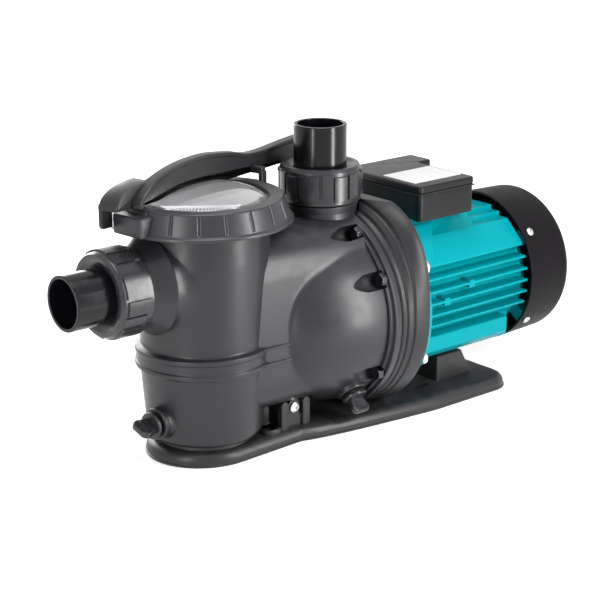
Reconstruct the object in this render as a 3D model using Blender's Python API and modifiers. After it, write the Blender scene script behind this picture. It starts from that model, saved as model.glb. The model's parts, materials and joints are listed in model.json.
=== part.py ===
"""Self-priming pool pump: strainer pot, volute, finned motor and base, as separate pieces.

Units are metres. +X runs from the suction port to the motor, +Z is up, and the origin lies on the
floor under the axis of the strainer pot.
"""

import math

import bmesh
import bpy
from mathutils import Matrix, Vector

# Fits
CLEARANCE = 0.0003
BOLT_PLAY = 0.0003

# Main axes
SHAFT_HEIGHT = 0.109
SUCTION_HEIGHT = 0.169
DISCHARGE_X = 0.1405

# Base plate
BASE_THICKNESS = 0.013
BASE_END_RADIUS = 0.057
BASE_WAIST = 0.004
BASE_HALF_WIDTH = 0.074
BASE_LENGTH = 0.340
BASE_CORNER = 0.025
BASE_FLARE_START = 0.075
BASE_FLARE_END = 0.230
BASE_ROUNDING = 0.004
BASE_POCKET_DEPTH = 0.007
SOLE_GAP = 0.0015
POT_SEAT_RADIUS = 0.044
SLOT_WIDTH = 0.009
FRONT_SLOT_LENGTH = 0.011
FRONT_SLOT_X = 0.0495
FRONT_SLOT_Y = 0.0355
EYELET_WALL = 0.004
EYELET_HEIGHT = 0.004
REAR_SLOT_LENGTH = 0.022
REAR_SLOT_X = 0.240
REAR_SLOT_Y = 0.038
CRADLE_X = 0.262
CRADLE_LENGTH = 0.037
CRADLE_HALF_WIDTH = 0.040
PAD_THICKNESS = 0.005
UPSTAND_X = 0.0655
UPSTAND_Y = 0.0465
UPSTAND_WIDTH = 0.018
UPSTAND_HEIGHT = 0.036
UPSTAND_THICKNESS = 0.003
EAR_THICKNESS = 0.005
EAR_DEPTH = 0.003

# Strainer pot
POT_FLOOR = 0.024
POT_FOOT_RADIUS = 0.053
POT_FILLET = 0.008
POT_LOWER_RADIUS = 0.058
POT_WAIST_RADIUS = 0.0572
POT_UPPER_RADIUS = 0.0615
POT_SHOULDER = 0.188
BAND_RADIUS = 0.0625
BAND_LOW = 0.087
BAND_HIGH = 0.103
BAND_RIB_REACH = 0.008
BAND_RIB_PROUD = 0.003
COLLAR_LOW = 0.219
COLLAR_TOP = 0.232
COLLAR_RADIUS = 0.072
POT_BORE = 0.0505
POT_FLOOR_WALL = 0.006
MOUTH_RADIUS = 0.058

# Basket
BASKET_TOP_RADIUS = 0.0485
BASKET_FOOT_RADIUS = 0.041
BASKET_WALL = 0.0022
BASKET_DEPTH = 0.150
BASKET_RIM_THICKNESS = 0.004
BASKET_SLOTS = 18
BASKET_SLOT_WIDTH = 0.006
BASKET_HEADROOM = 0.0173

# Lid, lock ring and wrench
LID_FLANGE = 0.0035
LID_SPIGOT_DEPTH = 0.008
LID_SPIGOT_WALL = 0.0035
LID_DOME_RISE = 0.0135
LID_THICKNESS = 0.0035
LID_ORING_RADIUS = 0.064
RING_WINDOW = 0.0615
RING_TOP_PLATE = 0.0055
RING_TOP_RADIUS = 0.0745
RING_SKIRT_RADIUS = 0.0805
RING_LIP_RADIUS = 0.0834
RING_LIP = 0.003
RING_THREAD_PLAY = 0.0008
LUG_RADIUS = 0.0885
LUG_WIDTH = 0.036
LUG_HEIGHT = 0.018
REAR_LUG_WIDTH = 0.020
WRENCH_ANGLE = math.radians(14.5)
WRENCH_OFFSET = 0.0113
WRENCH_REACH = 0.172
WRENCH_WEB = 0.006
WRENCH_FLANGE_WIDTH = 0.011
WRENCH_FLANGE = 0.005
WRENCH_FLANGE_PROUD = 0.0004
WRENCH_LIFT = 0.0005
WRENCH_DOME_GAP = 0.0035
WRENCH_CROWN = 0.024
WRENCH_SHOULDER = 0.0235
WRENCH_HEAD_REACH = 0.022
WRENCH_HEAD_MARGIN = 0.004
WRENCH_PRONG = 0.0035
WRENCH_JAW = 0.0045
WRENCH_JAW_PLAY = 0.0025

# Ports and unions
PORT_BORE = 0.0215
TAIL_RADIUS = 0.025
TAIL_WALL = 0.0033
TAIL_FLANGE_RADIUS = 0.0325
TAIL_FLANGE = 0.0055
UNION_THREAD_RADIUS = 0.0345
UNION_ENGAGED = 0.014
UNION_NUT_RADIUS = 0.0385
UNION_NUT_LENGTH = 0.034
UNION_PAD = 0.0018
UNION_PADS = 10
SUCTION_NUT_FACE = 0.113
SUCTION_TAIL_FACE = 0.148
DISCHARGE_NUT_TOP = 0.250
DISCHARGE_TAIL_TOP = 0.2875
BOSS_RADIUS = 0.040
NECK_RADIUS = 0.034
NECK_LOW = 0.200
NECK_FLOOR = 0.005
THROAT_RADIUS = 0.0145
THROAT_SETBACK = 0.003
UNION_ORING_RADIUS = 0.0275

# Volute and bridge
FLANGE_FACE_X = 0.157
FLANGE_THICKNESS = 0.010
FLANGE_RADIUS = 0.099
BARREL_RADIUS = 0.091
BARREL_NOSE_X = 0.054
BARREL_NOSE_RADIUS = 0.046
BRIDGE_POT_HALF = 0.052
BRIDGE_FLANGE_HALF = 0.063
BRIDGE_TOP = 0.204
BRIDGE_BOTTOM = 0.036
BRIDGE_ROUND = 0.040
BRIDGE_KEEL_ROUND = 0.030
VOLUTE_BORE = 0.079
VOLUTE_FRONT_X = 0.086
VOLUTE_EYE_RADIUS = 0.024
FOOT_DEPTH = 0.020

# Drain plugs
PLUG_SHANK_RADIUS = 0.0075
PLUG_SHANK = 0.013
PLUG_HEAD_RADIUS = 0.0125
PLUG_HEAD = 0.005
PLUG_WING = 0.013
PLUG_WING_THICKNESS = 0.005
PLUG_BOSS_RADIUS = 0.0145
STRAINER_PLUG_ANGLE = math.radians(188)
STRAINER_PLUG_HEIGHT = 0.040
STRAINER_PLUG_FACE = 0.063
VOLUTE_PLUG_X = 0.128
VOLUTE_PLUG_ANGLE = math.radians(-48)
VOLUTE_PLUG_FACE = 0.093

# O-rings
ORING_SECTION = 0.002
PLUG_ORING_SECTION = 0.0012

# Bracket and bolts
BRACKET_LENGTH = 0.030
BRACKET_FRONT_STEP = 0.001
BRACKET_REAR_STEP = 0.004
BRACKET_CROWN_STEP = 0.006
BRACKET_SQUARENESS = 3.2
BRACKET_RECESS_RADIUS = 0.078
BRACKET_HUB_RADIUS = 0.030
BRACKET_PLATE = 0.012
SPIGOT_LENGTH = 0.008
CASING_BOLT_EDGE = 0.0065
CASING_BOLT_ANGLES = (28, -32, 60)
CASING_POCKET_RADIUS = 0.009
CASING_POCKET_LENGTH = 0.045
SPOT_FACE = 0.0005
MOTOR_BOLT_EDGE = 0.007
MOTOR_BOLT_ANGLE = 29
BOLT_RADIUS = 0.004
BOLT_HEAD_RADIUS = 0.0068
BOLT_HEAD = 0.0055
CASING_BOLT_GRIP = 0.024
MOTOR_BOLT_GRIP = 0.022
BASE_SCREW_RADIUS = 0.003
BASE_SCREW_HEAD_RADIUS = 0.0055
BASE_SCREW_HEAD = 0.003

# Rotating group
IMPELLER_RADIUS = 0.058
IMPELLER_X = 0.102
IMPELLER_WIDTH = 0.026
IMPELLER_SHROUD = 0.0035
IMPELLER_VANES = 6
SHAFT_RADIUS = 0.008
ROTOR_SEAT_RADIUS = 0.010
ROTOR_RADIUS = 0.028
STACK_X = 0.235
STACK_LENGTH = 0.075
AIR_GAP = 0.0006
COIL_OVERHANG = 0.018
COIL_BARS = 6
COIL_BAR_RADIUS = 0.004
BEARING_RADIUS = 0.017
BEARING_WIDTH = 0.011
SEAL_SEAT_RADIUS = 0.0165
SEAL_SEAT_WIDTH = 0.009
SEAL_HEAD_RADIUS = 0.0135
SLINGER_RADIUS = 0.016
SLINGER_WIDTH = 0.004

# Motor
MOTOR_LENGTH = 0.1574
MOTOR_FLANGE = 0.008
MOTOR_FLANGE_RADIUS = 0.100
MOTOR_BORE = 0.0543
MOTOR_WALL_HALF = 0.051
MOTOR_ROOF = 0.064
MOTOR_FIN_ROOT = 0.0585
MOTOR_FIN_TIP = 0.066
MOTOR_FINS = 8
MOTOR_FIN_PITCH = 0.0087
MOTOR_FIN_TOP = 0.033
MOTOR_FIN_WIDTH = 0.0032
MOTOR_RAIL_HALF = 0.063
MOTOR_RAIL_TOP = 0.035
MOTOR_RAIL_LOW = 0.052
MOTOR_KEEL_HALF = 0.046
MOTOR_KEEL = 0.064
PEDESTAL_HEIGHT = 0.0772
PEDESTAL_STEPS = ((0.125, 0.0772), (0.138, 0.072), (0.147, 0.066))
PEDESTAL_START = 0.012
SHIELD_RADIUS = 0.074
SHIELD_THICKNESS = 0.008
SHIELD_LUG = 0.018
FAN_COVER_RADIUS = 0.078
FAN_COVER_WALL = 0.0025
FAN_COVER_LENGTH = 0.061
FAN_COVER_ROUND = 0.010
FAN_COVER_OVERLAP = 0.010
FAN_SCREW_ANGLE = 36.4
FAN_SCREW_RADIUS = 0.002
FAN_SCREW_HEAD_RADIUS = 0.0042
FAN_SCREW_HEAD = 0.0025
FAN_RADIUS = 0.064
FAN_BLADES = 7
FAN_WIDTH = 0.018

# Terminal box
BOX_FRONT_X = 0.224
BOX_LENGTH = 0.074
BOX_NEAR_HALF = 0.050
BOX_STEP_Y = 0.031
BOX_FAR_HALF = 0.062
BOX_WING = 0.020
BOX_HEIGHT = 0.026
BOX_WALL = 0.003
BOX_LID = 0.0075
BOX_LID_ROUND = 0.002
GASKET = 0.001
GLAND_RADIUS = 0.011
GLAND_LENGTH = 0.020
CAPACITOR_RADIUS = 0.010
CAPACITOR_LENGTH = 0.060
CAPACITOR_END_GAP = 0.004
BLOCK_SETBACK = 0.016
BLOCK_DEPTH = 0.018
BLOCK_HEIGHT = 0.010
STUDS = 4
STUD_RADIUS = 0.0025
STUD_PITCH = 0.010
STUD_PROUD = 0.006

# Places worked out from the sizes above
BRACKET_FACE_X = FLANGE_FACE_X + CLEARANCE
BRACKET_FRONT_RADIUS = FLANGE_RADIUS + BRACKET_FRONT_STEP
BRACKET_REAR_RADIUS = MOTOR_FLANGE_RADIUS + BRACKET_REAR_STEP
BRACKET_CROWN = FLANGE_RADIUS + BRACKET_CROWN_STEP
CASING_BOLT_CIRCLE = FLANGE_RADIUS - CASING_BOLT_EDGE
MOTOR_BOLT_CIRCLE = MOTOR_FLANGE_RADIUS - MOTOR_BOLT_EDGE
BRACKET_REAR_X = BRACKET_FACE_X + BRACKET_LENGTH
MOTOR_FRONT_X = BRACKET_REAR_X + CLEARANCE
MOTOR_REAR_X = MOTOR_FRONT_X + MOTOR_LENGTH
SHIELD_X = MOTOR_REAR_X + CLEARANCE
SHIELD_REAR_X = SHIELD_X + SHIELD_THICKNESS
FAN_COVER_X = SHIELD_REAR_X + SHIELD_LUG - FAN_COVER_OVERLAP - FAN_COVER_OVERLAP / 2
FAN_COVER_REAR_X = FAN_COVER_X + FAN_COVER_LENGTH
FAN_SCREW_X = SHIELD_REAR_X + SHIELD_LUG - FAN_COVER_OVERLAP / 2
SPIGOT_X = BRACKET_FACE_X - SPIGOT_LENGTH
PEDESTAL_TOP = SHAFT_HEIGHT + PEDESTAL_HEIGHT
BOX_BOTTOM = PEDESTAL_TOP + CLEARANCE
BOX_TOP = BOX_BOTTOM + BOX_HEIGHT
GASKET_BOTTOM = BOX_TOP + CLEARANCE
LID_BOTTOM = GASKET_BOTTOM + GASKET + CLEARANCE
LID_SEAT = COLLAR_TOP + CLEARANCE
LEDGE_HEIGHT = LID_SEAT - LID_SPIGOT_DEPTH - BASKET_HEADROOM - BASKET_RIM_THICKNESS
RING_PLATE_BOTTOM = LID_SEAT + LID_FLANGE + CLEARANCE
RING_TOP = RING_PLATE_BOTTOM + RING_TOP_PLATE
RING_LOW = COLLAR_LOW - CLEARANCE
LID_APEX = RING_TOP + LID_DOME_RISE - RING_TOP_PLATE
WRENCH_FLOOR = RING_TOP + WRENCH_LIFT
POT_SEAT_TOP = POT_FLOOR - CLEARANCE
MOTOR_UNDERSIDE = SHAFT_HEIGHT - MOTOR_KEEL
PAD_BOTTOM = MOTOR_UNDERSIDE - CLEARANCE - PAD_THICKNESS
CRADLE_TOP = PAD_BOTTOM - CLEARANCE
SHAFT_REAR_X = FAN_COVER_REAR_X - 0.020
FRONT_BEARING_X = BRACKET_REAR_X - BEARING_WIDTH
REAR_BEARING_X = SHIELD_X + 0.001
FAN_X = SHIELD_REAR_X + SHIELD_LUG + 0.004

# Facets round the turned shapes
FINE = 28
MEDIUM = 18
COARSE = 12
SMALL = 8

# Turns: local +Z to +X, local XY outline to the YZ plane, local XY outline to the XZ plane
ALONG_X = (0.0, math.pi / 2, 0.0)
ACROSS_X = (math.pi / 2, 0.0, math.pi / 2)
ALONG_MINUS_X = (0.0, -math.pi / 2, 0.0)
UPRIGHT = (math.pi / 2, 0.0, 0.0)
LEVEL = (0.0, 0.0, 0.0)

# Finishes: colour, roughness, metallic
CHARCOAL = ((0.045, 0.046, 0.050), 0.42, 0.0)
BLACK = ((0.020, 0.020, 0.022), 0.50, 0.0)
TEAL = ((0.0, 0.42, 0.47), 0.40, 0.0)
CLEAR = ((0.86, 0.90, 0.92), 0.10, 0.0)
STEEL = ((0.62, 0.62, 0.60), 0.28, 1.0)
IRON = ((0.20, 0.20, 0.21), 0.50, 1.0)
COPPER = ((0.60, 0.27, 0.12), 0.40, 1.0)
RUBBER = ((0.015, 0.015, 0.015), 0.75, 0.0)
CERAMIC = ((0.80, 0.78, 0.72), 0.35, 0.0)
BASKET_GREY = ((0.75, 0.76, 0.76), 0.50, 0.0)
RESIN = ((0.10, 0.10, 0.11), 0.50, 0.0)

for old in list(bpy.data.objects):
    bpy.data.objects.remove(old, do_unlink=True)

PUMP = bpy.data.collections.new("pool_pump")
HELPERS = bpy.data.collections.new("pool_pump_helpers")
bpy.context.scene.collection.children.link(PUMP)
bpy.context.scene.collection.children.link(HELPERS)


def add(name, mesh, finish, location=(0.0, 0.0, 0.0), rotation=LEVEL):
    """Puts a mesh in the scene: a piece of the pump if it has a finish, else a hidden helper."""
    obj = bpy.data.objects.new(name, mesh)
    obj.location = location
    obj.rotation_euler = rotation
    if finish is None:
        HELPERS.objects.link(obj)
        obj.hide_render = True
        obj.display_type = "WIRE"
        return obj
    PUMP.objects.link(obj)
    colour, roughness, metallic = finish
    material = bpy.data.materials.new(name)
    material.use_nodes = True
    shader = material.node_tree.nodes["Principled BSDF"]
    shader.inputs["Base Color"].default_value = (*colour, 1.0)
    shader.inputs["Roughness"].default_value = roughness
    shader.inputs["Metallic"].default_value = metallic
    mesh.materials.append(material)
    return obj


def mesh_from(name, bm):
    mesh = bpy.data.meshes.new(name)
    bm.to_mesh(mesh)
    bm.free()
    mesh.shade_smooth()
    mesh.set_sharp_from_angle(angle=math.radians(35))
    return mesh


def arc(centre, radius, start, end, count):
    """Points on a circle from one angle to another, in degrees, both ends included."""
    turns = [start + (end - start) * i / count for i in range(count + 1)]
    return [
        (
            centre[0] + radius * math.cos(math.radians(t)),
            centre[1] + radius * math.sin(math.radians(t)),
        )
        for t in turns
    ]


def turned(name, profile, finish=None, steps=FINE, location=(0.0, 0.0, 0.0), rotation=LEVEL):
    """A (radius, height) profile carried round local Z: from axis to axis, or else a closed loop."""
    area = sum(
        a[0] * b[1] - b[0] * a[1] for a, b in zip(profile, profile[1:] + profile[:1])
    )
    points = profile if area < 0 else profile[::-1]
    mesh = bpy.data.meshes.new(name)
    edges = [(i, i + 1) for i in range(len(points) - 1)]
    if points[0][0] > 0 or points[-1][0] > 0:
        edges.append((len(points) - 1, 0))
    mesh.from_pydata([(r, 0.0, h) for r, h in points], edges, [])
    obj = add(name, mesh, finish, location, rotation)
    screw = obj.modifiers.new("turn", "SCREW")
    screw.axis = "Z"
    screw.steps = steps
    screw.render_steps = steps
    screw.use_merge_vertices = True
    screw.merge_threshold = 0.00001
    return obj


def ring(
    name,
    inner,
    outer,
    low,
    high,
    finish=None,
    steps=MEDIUM,
    location=(0.0, 0.0, 0.0),
    rotation=LEVEL,
):
    """A plain washer or sleeve: the turned rectangle between two radii and two heights."""
    profile = [(inner, high), (outer, high), (outer, low), (inner, low)]
    return turned(name, profile, finish, steps, location, rotation)


def disc(
    name, radius, low, high, finish=None, steps=MEDIUM, location=(0.0, 0.0, 0.0), rotation=LEVEL
):
    profile = [(0.0, high), (radius, high), (radius, low), (0.0, low)]
    return turned(name, profile, finish, steps, location, rotation)


def oring(name, radius, section, finish, location, rotation, steps=COARSE):
    """A rubber ring of round section."""
    return turned(name, arc((radius, 0.0), section, 0, -288, 4), finish, steps, location, rotation)


def box(name, low, high, finish=None, location=(0.0, 0.0, 0.0), rotation=LEVEL, bevel=0.0):
    bm = bmesh.new()
    bmesh.ops.create_cube(bm, size=1.0)
    size = Vector(high) - Vector(low)
    bmesh.ops.scale(bm, vec=size, verts=bm.verts)
    bmesh.ops.translate(bm, vec=(Vector(high) + Vector(low)) / 2, verts=bm.verts)
    obj = add(name, mesh_from(name, bm), finish, location, rotation)
    if bevel:
        rounding = obj.modifiers.new("rounding", "BEVEL")
        rounding.width = bevel
        rounding.segments = 1
    return obj


def prism(name, outline, depth, finish=None, location=(0.0, 0.0, 0.0), rotation=LEVEL):
    """A flat outline in local XY, filled and extruded along local Z from 0 to depth."""
    curve = bpy.data.curves.new(name, "CURVE")
    curve.dimensions = "2D"
    curve.fill_mode = "BOTH"
    curve.extrude = depth / 2
    spline = curve.splines.new("POLY")
    spline.points.add(len(outline) - 1)
    for point, (x, y) in zip(spline.points, outline):
        point.co = (x, y, 0.0, 1.0)
    spline.use_cyclic_u = True
    guide = bpy.data.objects.new(name + "_outline", curve)
    HELPERS.objects.link(guide)
    bpy.context.view_layer.update()
    graph = bpy.context.evaluated_depsgraph_get()
    flat = bpy.data.meshes.new_from_object(guide.evaluated_get(graph))
    bpy.data.objects.remove(guide, do_unlink=True)
    bpy.data.curves.remove(curve)
    bm = bmesh.new()
    bm.from_mesh(flat)
    bpy.data.meshes.remove(flat)
    bmesh.ops.remove_doubles(bm, verts=bm.verts, dist=0.000001)
    bmesh.ops.recalc_face_normals(bm, faces=bm.faces)
    bmesh.ops.translate(bm, vec=(0.0, 0.0, depth / 2), verts=bm.verts)
    return add(name, mesh_from(name, bm), finish, location, rotation)


def lofted(name, sections, finish=None, location=(0.0, 0.0, 0.0)):
    """A closed skin through sections with the same number of points, capped at both ends."""
    bm = bmesh.new()
    loops = [[bm.verts.new(point) for point in section] for section in sections]
    count = len(loops[0])
    for near, far in zip(loops, loops[1:]):
        for i in range(count):
            j = (i + 1) % count
            bm.faces.new((near[i], near[j], far[j], far[i]))
    bm.faces.new(loops[0])
    bm.faces.new(loops[-1])
    bmesh.ops.recalc_face_normals(bm, faces=bm.faces)
    return add(name, mesh_from(name, bm), finish, location)


def together(name, pieces):
    """One helper mesh that holds several separate helper solids, in world places."""
    bm = bmesh.new()
    bpy.context.view_layer.update()
    graph = bpy.context.evaluated_depsgraph_get()
    for piece in pieces:
        solid = bpy.data.meshes.new_from_object(piece.evaluated_get(graph))
        solid.transform(piece.matrix_world)
        bm.from_mesh(solid)
        bpy.data.meshes.remove(solid)
        bpy.data.objects.remove(piece, do_unlink=True)
    return add(name, mesh_from(name, bm), None)


def combine(target, operation, *tools):
    for tool in tools:
        step = target.modifiers.new(tool.name, "BOOLEAN")
        step.operation = operation
        step.solver = "EXACT"
        step.object = tool
    return target


def settle(obj):
    """Welds the last slivers of the joins and cuts, and takes out points inside flat faces."""
    weld = obj.modifiers.new("weld", "WELD")
    weld.merge_threshold = 0.00002
    flat = obj.modifiers.new("flatten", "DECIMATE")
    flat.decimate_type = "DISSOLVE"
    flat.angle_limit = math.radians(0.5)


def join(target, *tools):
    return combine(target, "UNION", *tools)


def cut(target, *tools):
    return combine(target, "DIFFERENCE", *tools)


def polar(radius, degrees):
    """(y, z) of a point round the shaft axis, the angle counted up from the near side, -Y."""
    turn = math.radians(degrees)
    return -radius * math.cos(turn), radius * math.sin(turn)


def both_sides(angles):
    """Each angle on the near side, and its mirror image on the far side."""
    return [turn for angle in angles for turn in (angle, 180 - angle)]


def base_outline(height, inset):
    """Plan of the base at a height: round end under the pot, waist, flare, and rear with round corners."""
    end = BASE_END_RADIUS - inset
    waist = end - BASE_WAIST
    lead = math.degrees(math.asin(waist / end))
    points = arc((0.0, 0.0), end, lead, 360 - lead, 16)
    flare = []
    for i in range(7):
        t = i / 6
        swell = t * t * (3 - 2 * t)
        x = BASE_FLARE_START + t * (BASE_FLARE_END - BASE_FLARE_START)
        flare.append((x, -waist - swell * (BASE_HALF_WIDTH - inset - waist)))
    corner = (BASE_LENGTH - BASE_CORNER, -BASE_HALF_WIDTH + BASE_CORNER)
    side = flare + arc(corner, BASE_CORNER - inset, -90, 0, 4)
    outline = points + side + [(x, -y) for x, y in reversed(side)]
    return [(x, y, height) for x, y in outline]


def slot_outline(length, width):
    """Plan of a slot with round ends."""
    reach = (length - width) / 2
    return arc((reach, 0.0), width / 2, -90, 90, 4) + arc((-reach, 0.0), width / 2, 90, 270, 4)


def slot_places():
    """Length and middle of the four slots that fasten the base: a pair in front and one behind."""
    front = [(FRONT_SLOT_LENGTH, (FRONT_SLOT_X, side * FRONT_SLOT_Y)) for side in (-1, 1)]
    return front + [(REAR_SLOT_LENGTH, (REAR_SLOT_X, side * REAR_SLOT_Y)) for side in (-1, 1)]


def make_base():
    edge = arc((BASE_THICKNESS - BASE_ROUNDING, -BASE_ROUNDING), BASE_ROUNDING, 90, 0, 2)
    sections = [base_outline(0.0, 0.0)] + [base_outline(height, -inset) for height, inset in edge]
    base = lofted("base_plate", sections, BLACK)
    lower = BASE_THICKNESS / 2
    seat = disc("pot_seat", POT_SEAT_RADIUS, lower, POT_SEAT_TOP)
    cradle = box(
        "cradle",
        (CRADLE_X, -CRADLE_HALF_WIDTH, lower),
        (CRADLE_X + CRADLE_LENGTH, CRADLE_HALF_WIDTH, CRADLE_TOP),
        bevel=0.002,
    )
    join(base, seat, cradle)
    for side, word in ((-1, "near"), (1, "far")):
        inner = side * UPSTAND_Y
        outer = side * (UPSTAND_Y + UPSTAND_THICKNESS)
        span = UPSTAND_WIDTH / 2
        plate = box(
            "upstand_" + word,
            (UPSTAND_X - span - EAR_THICKNESS / 2, min(inner, outer), lower),
            (
                UPSTAND_X + span + EAR_THICKNESS / 2,
                max(inner, outer),
                BASE_THICKNESS + UPSTAND_HEIGHT,
            ),
        )
        join(base, plate)
        for ear_side in (-1, 1):
            centre = UPSTAND_X + ear_side * (span + EAR_THICKNESS / 2)
            far = side * (UPSTAND_Y + UPSTAND_THICKNESS + EAR_DEPTH)
            near = side * (UPSTAND_Y + UPSTAND_THICKNESS / 2)
            outline = [
                (min(near, far), lower),
                (max(near, far), lower),
                (near if far < near else (near + far) / 2, BASE_THICKNESS + UPSTAND_HEIGHT),
                ((near + far) / 2 if far < near else near, BASE_THICKNESS + UPSTAND_HEIGHT),
            ]
            ear = prism(
                f"ear_{word}_{'fore' if ear_side < 0 else 'aft'}",
                outline,
                EAR_THICKNESS,
                location=(centre - EAR_THICKNESS / 2, 0.0, 0.0),
                rotation=ACROSS_X,
            )
            join(base, ear)
        hole = disc(
            "base_screw_hole_" + word,
            BASE_SCREW_RADIUS + BOLT_PLAY,
            -UPSTAND_THICKNESS,
            UPSTAND_THICKNESS,
            steps=SMALL,
            location=(UPSTAND_X, side * (UPSTAND_Y + UPSTAND_THICKNESS / 2), base_screw_height()),
            rotation=UPRIGHT,
        )
        cut(base, hole)
    eyelets = []
    slots = []
    for i, (length, (x, y)) in enumerate(slot_places()):
        slot = slot_outline(length, SLOT_WIDTH)
        slots.append(prism(f"slot_{i}", slot, 3 * BASE_THICKNESS, None, (x, y, -BASE_THICKNESS)))
        if length == FRONT_SLOT_LENGTH:
            rim = slot_outline(length + 2 * EYELET_WALL, SLOT_WIDTH + 2 * EYELET_WALL)
            eyelets.append(
                prism(
                    f"eyelet_{i}", rim, lower + EYELET_HEIGHT, None, (x, y, BASE_THICKNESS - lower)
                ),
            )
    join(base, together("eyelets", eyelets))
    middle = (UPSTAND_X + UPSTAND_WIDTH, REAR_SLOT_X - REAR_SLOT_LENGTH)
    rear = (REAR_SLOT_X + REAR_SLOT_LENGTH, BASE_LENGTH - BASE_CORNER / 2)
    half = BASE_END_RADIUS - 3 * BASE_WAIST
    pockets = [
        box(
            f"pocket_{word}",
            (low, -half, -BASE_POCKET_DEPTH),
            (high, half, BASE_POCKET_DEPTH),
        )
        for word, (low, high) in (("middle", middle), ("rear", rear))
    ]
    cut(base, together("base_cuts", slots + pockets))


def base_screw_height():
    return BASE_THICKNESS + UPSTAND_HEIGHT * 0.7


def make_pot_outside():
    """Outer turn of the strainer pot, with the raised band and the thread collar."""
    fillet = arc((POT_FOOT_RADIUS - POT_FILLET, POT_FLOOR + POT_FILLET), POT_FILLET, 0, -90, 2)
    step = 0.0015
    profile = [(0.0, COLLAR_TOP), (COLLAR_RADIUS, COLLAR_TOP)]
    profile += [(COLLAR_RADIUS, COLLAR_LOW + step), (POT_UPPER_RADIUS, COLLAR_LOW - 2 * step)]
    profile += [(POT_UPPER_RADIUS, POT_SHOULDER), (POT_WAIST_RADIUS, BAND_HIGH + step)]
    profile += [
        (BAND_RADIUS, BAND_HIGH), (BAND_RADIUS, BAND_LOW), (POT_LOWER_RADIUS, BAND_LOW - step)
    ]
    return turned("pump_body", profile + fillet + [(0.0, POT_FLOOR)], CHARCOAL, FINE)


def rounded_section(x, half, low, high, radius):
    """Points of an upright rounded rectangle across the shaft, at one station along it."""
    lower = BRIDGE_KEEL_ROUND
    corners = [
        ((-half + lower, low + lower), lower, 180),
        ((half - lower, low + lower), lower, 270),
        ((half - radius, high - radius), radius, 0),
        ((-half + radius, high - radius), radius, 90),
    ]
    points = []
    for centre, size, start in corners:
        points += arc(centre, size, start, start + 90, 4)
    return [(x, y, z) for y, z in points]


def barrel_profile():
    """Outside of the volute, swelling from its nose to the flange as a quarter of an ellipse."""
    length = FLANGE_FACE_X - FLANGE_THICKNESS / 2 - BARREL_NOSE_X
    points = []
    for i in range(7):
        turn = math.radians(90 * i / 6)
        swell = BARREL_NOSE_RADIUS + (BARREL_RADIUS - BARREL_NOSE_RADIUS) * math.sin(turn)
        points.append((swell, BARREL_NOSE_X + length * (1 - math.cos(turn))))
    return [(0.0, BARREL_NOSE_X)] + points + [(0.0, BARREL_NOSE_X + length)]


def strainer_plug_frame():
    """Outer face and direction of the pot's drain boss."""
    along = Vector((math.cos(STRAINER_PLUG_ANGLE), math.sin(STRAINER_PLUG_ANGLE), 0.0))
    return along * STRAINER_PLUG_FACE + Vector((0.0, 0.0, STRAINER_PLUG_HEIGHT)), along


def volute_plug_frame():
    y, z = polar(1.0, math.degrees(VOLUTE_PLUG_ANGLE))
    along = Vector((0.0, y, z))
    return Vector((VOLUTE_PLUG_X, 0.0, SHAFT_HEIGHT)) + along * VOLUTE_PLUG_FACE, along


def facing(along):
    """Rotation that takes local +Z to a direction."""
    return along.to_track_quat("Z", "Y").to_euler()


def casing_bolt_places():
    return [polar(CASING_BOLT_CIRCLE, turn) for turn in both_sides(CASING_BOLT_ANGLES)]


def motor_bolt_places():
    return [
        polar(MOTOR_BOLT_CIRCLE, turn)
        for turn in both_sides((MOTOR_BOLT_ANGLE, -MOTOR_BOLT_ANGLE))
    ]


def spigot_end_x():
    """Where the suction thread ends, just inside the tailpiece's flange."""
    return -(SUCTION_NUT_FACE - UNION_NUT_LENGTH + UNION_ENGAGED)


def spigot_end_z():
    return DISCHARGE_NUT_TOP - UNION_NUT_LENGTH + UNION_ENGAGED


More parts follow.
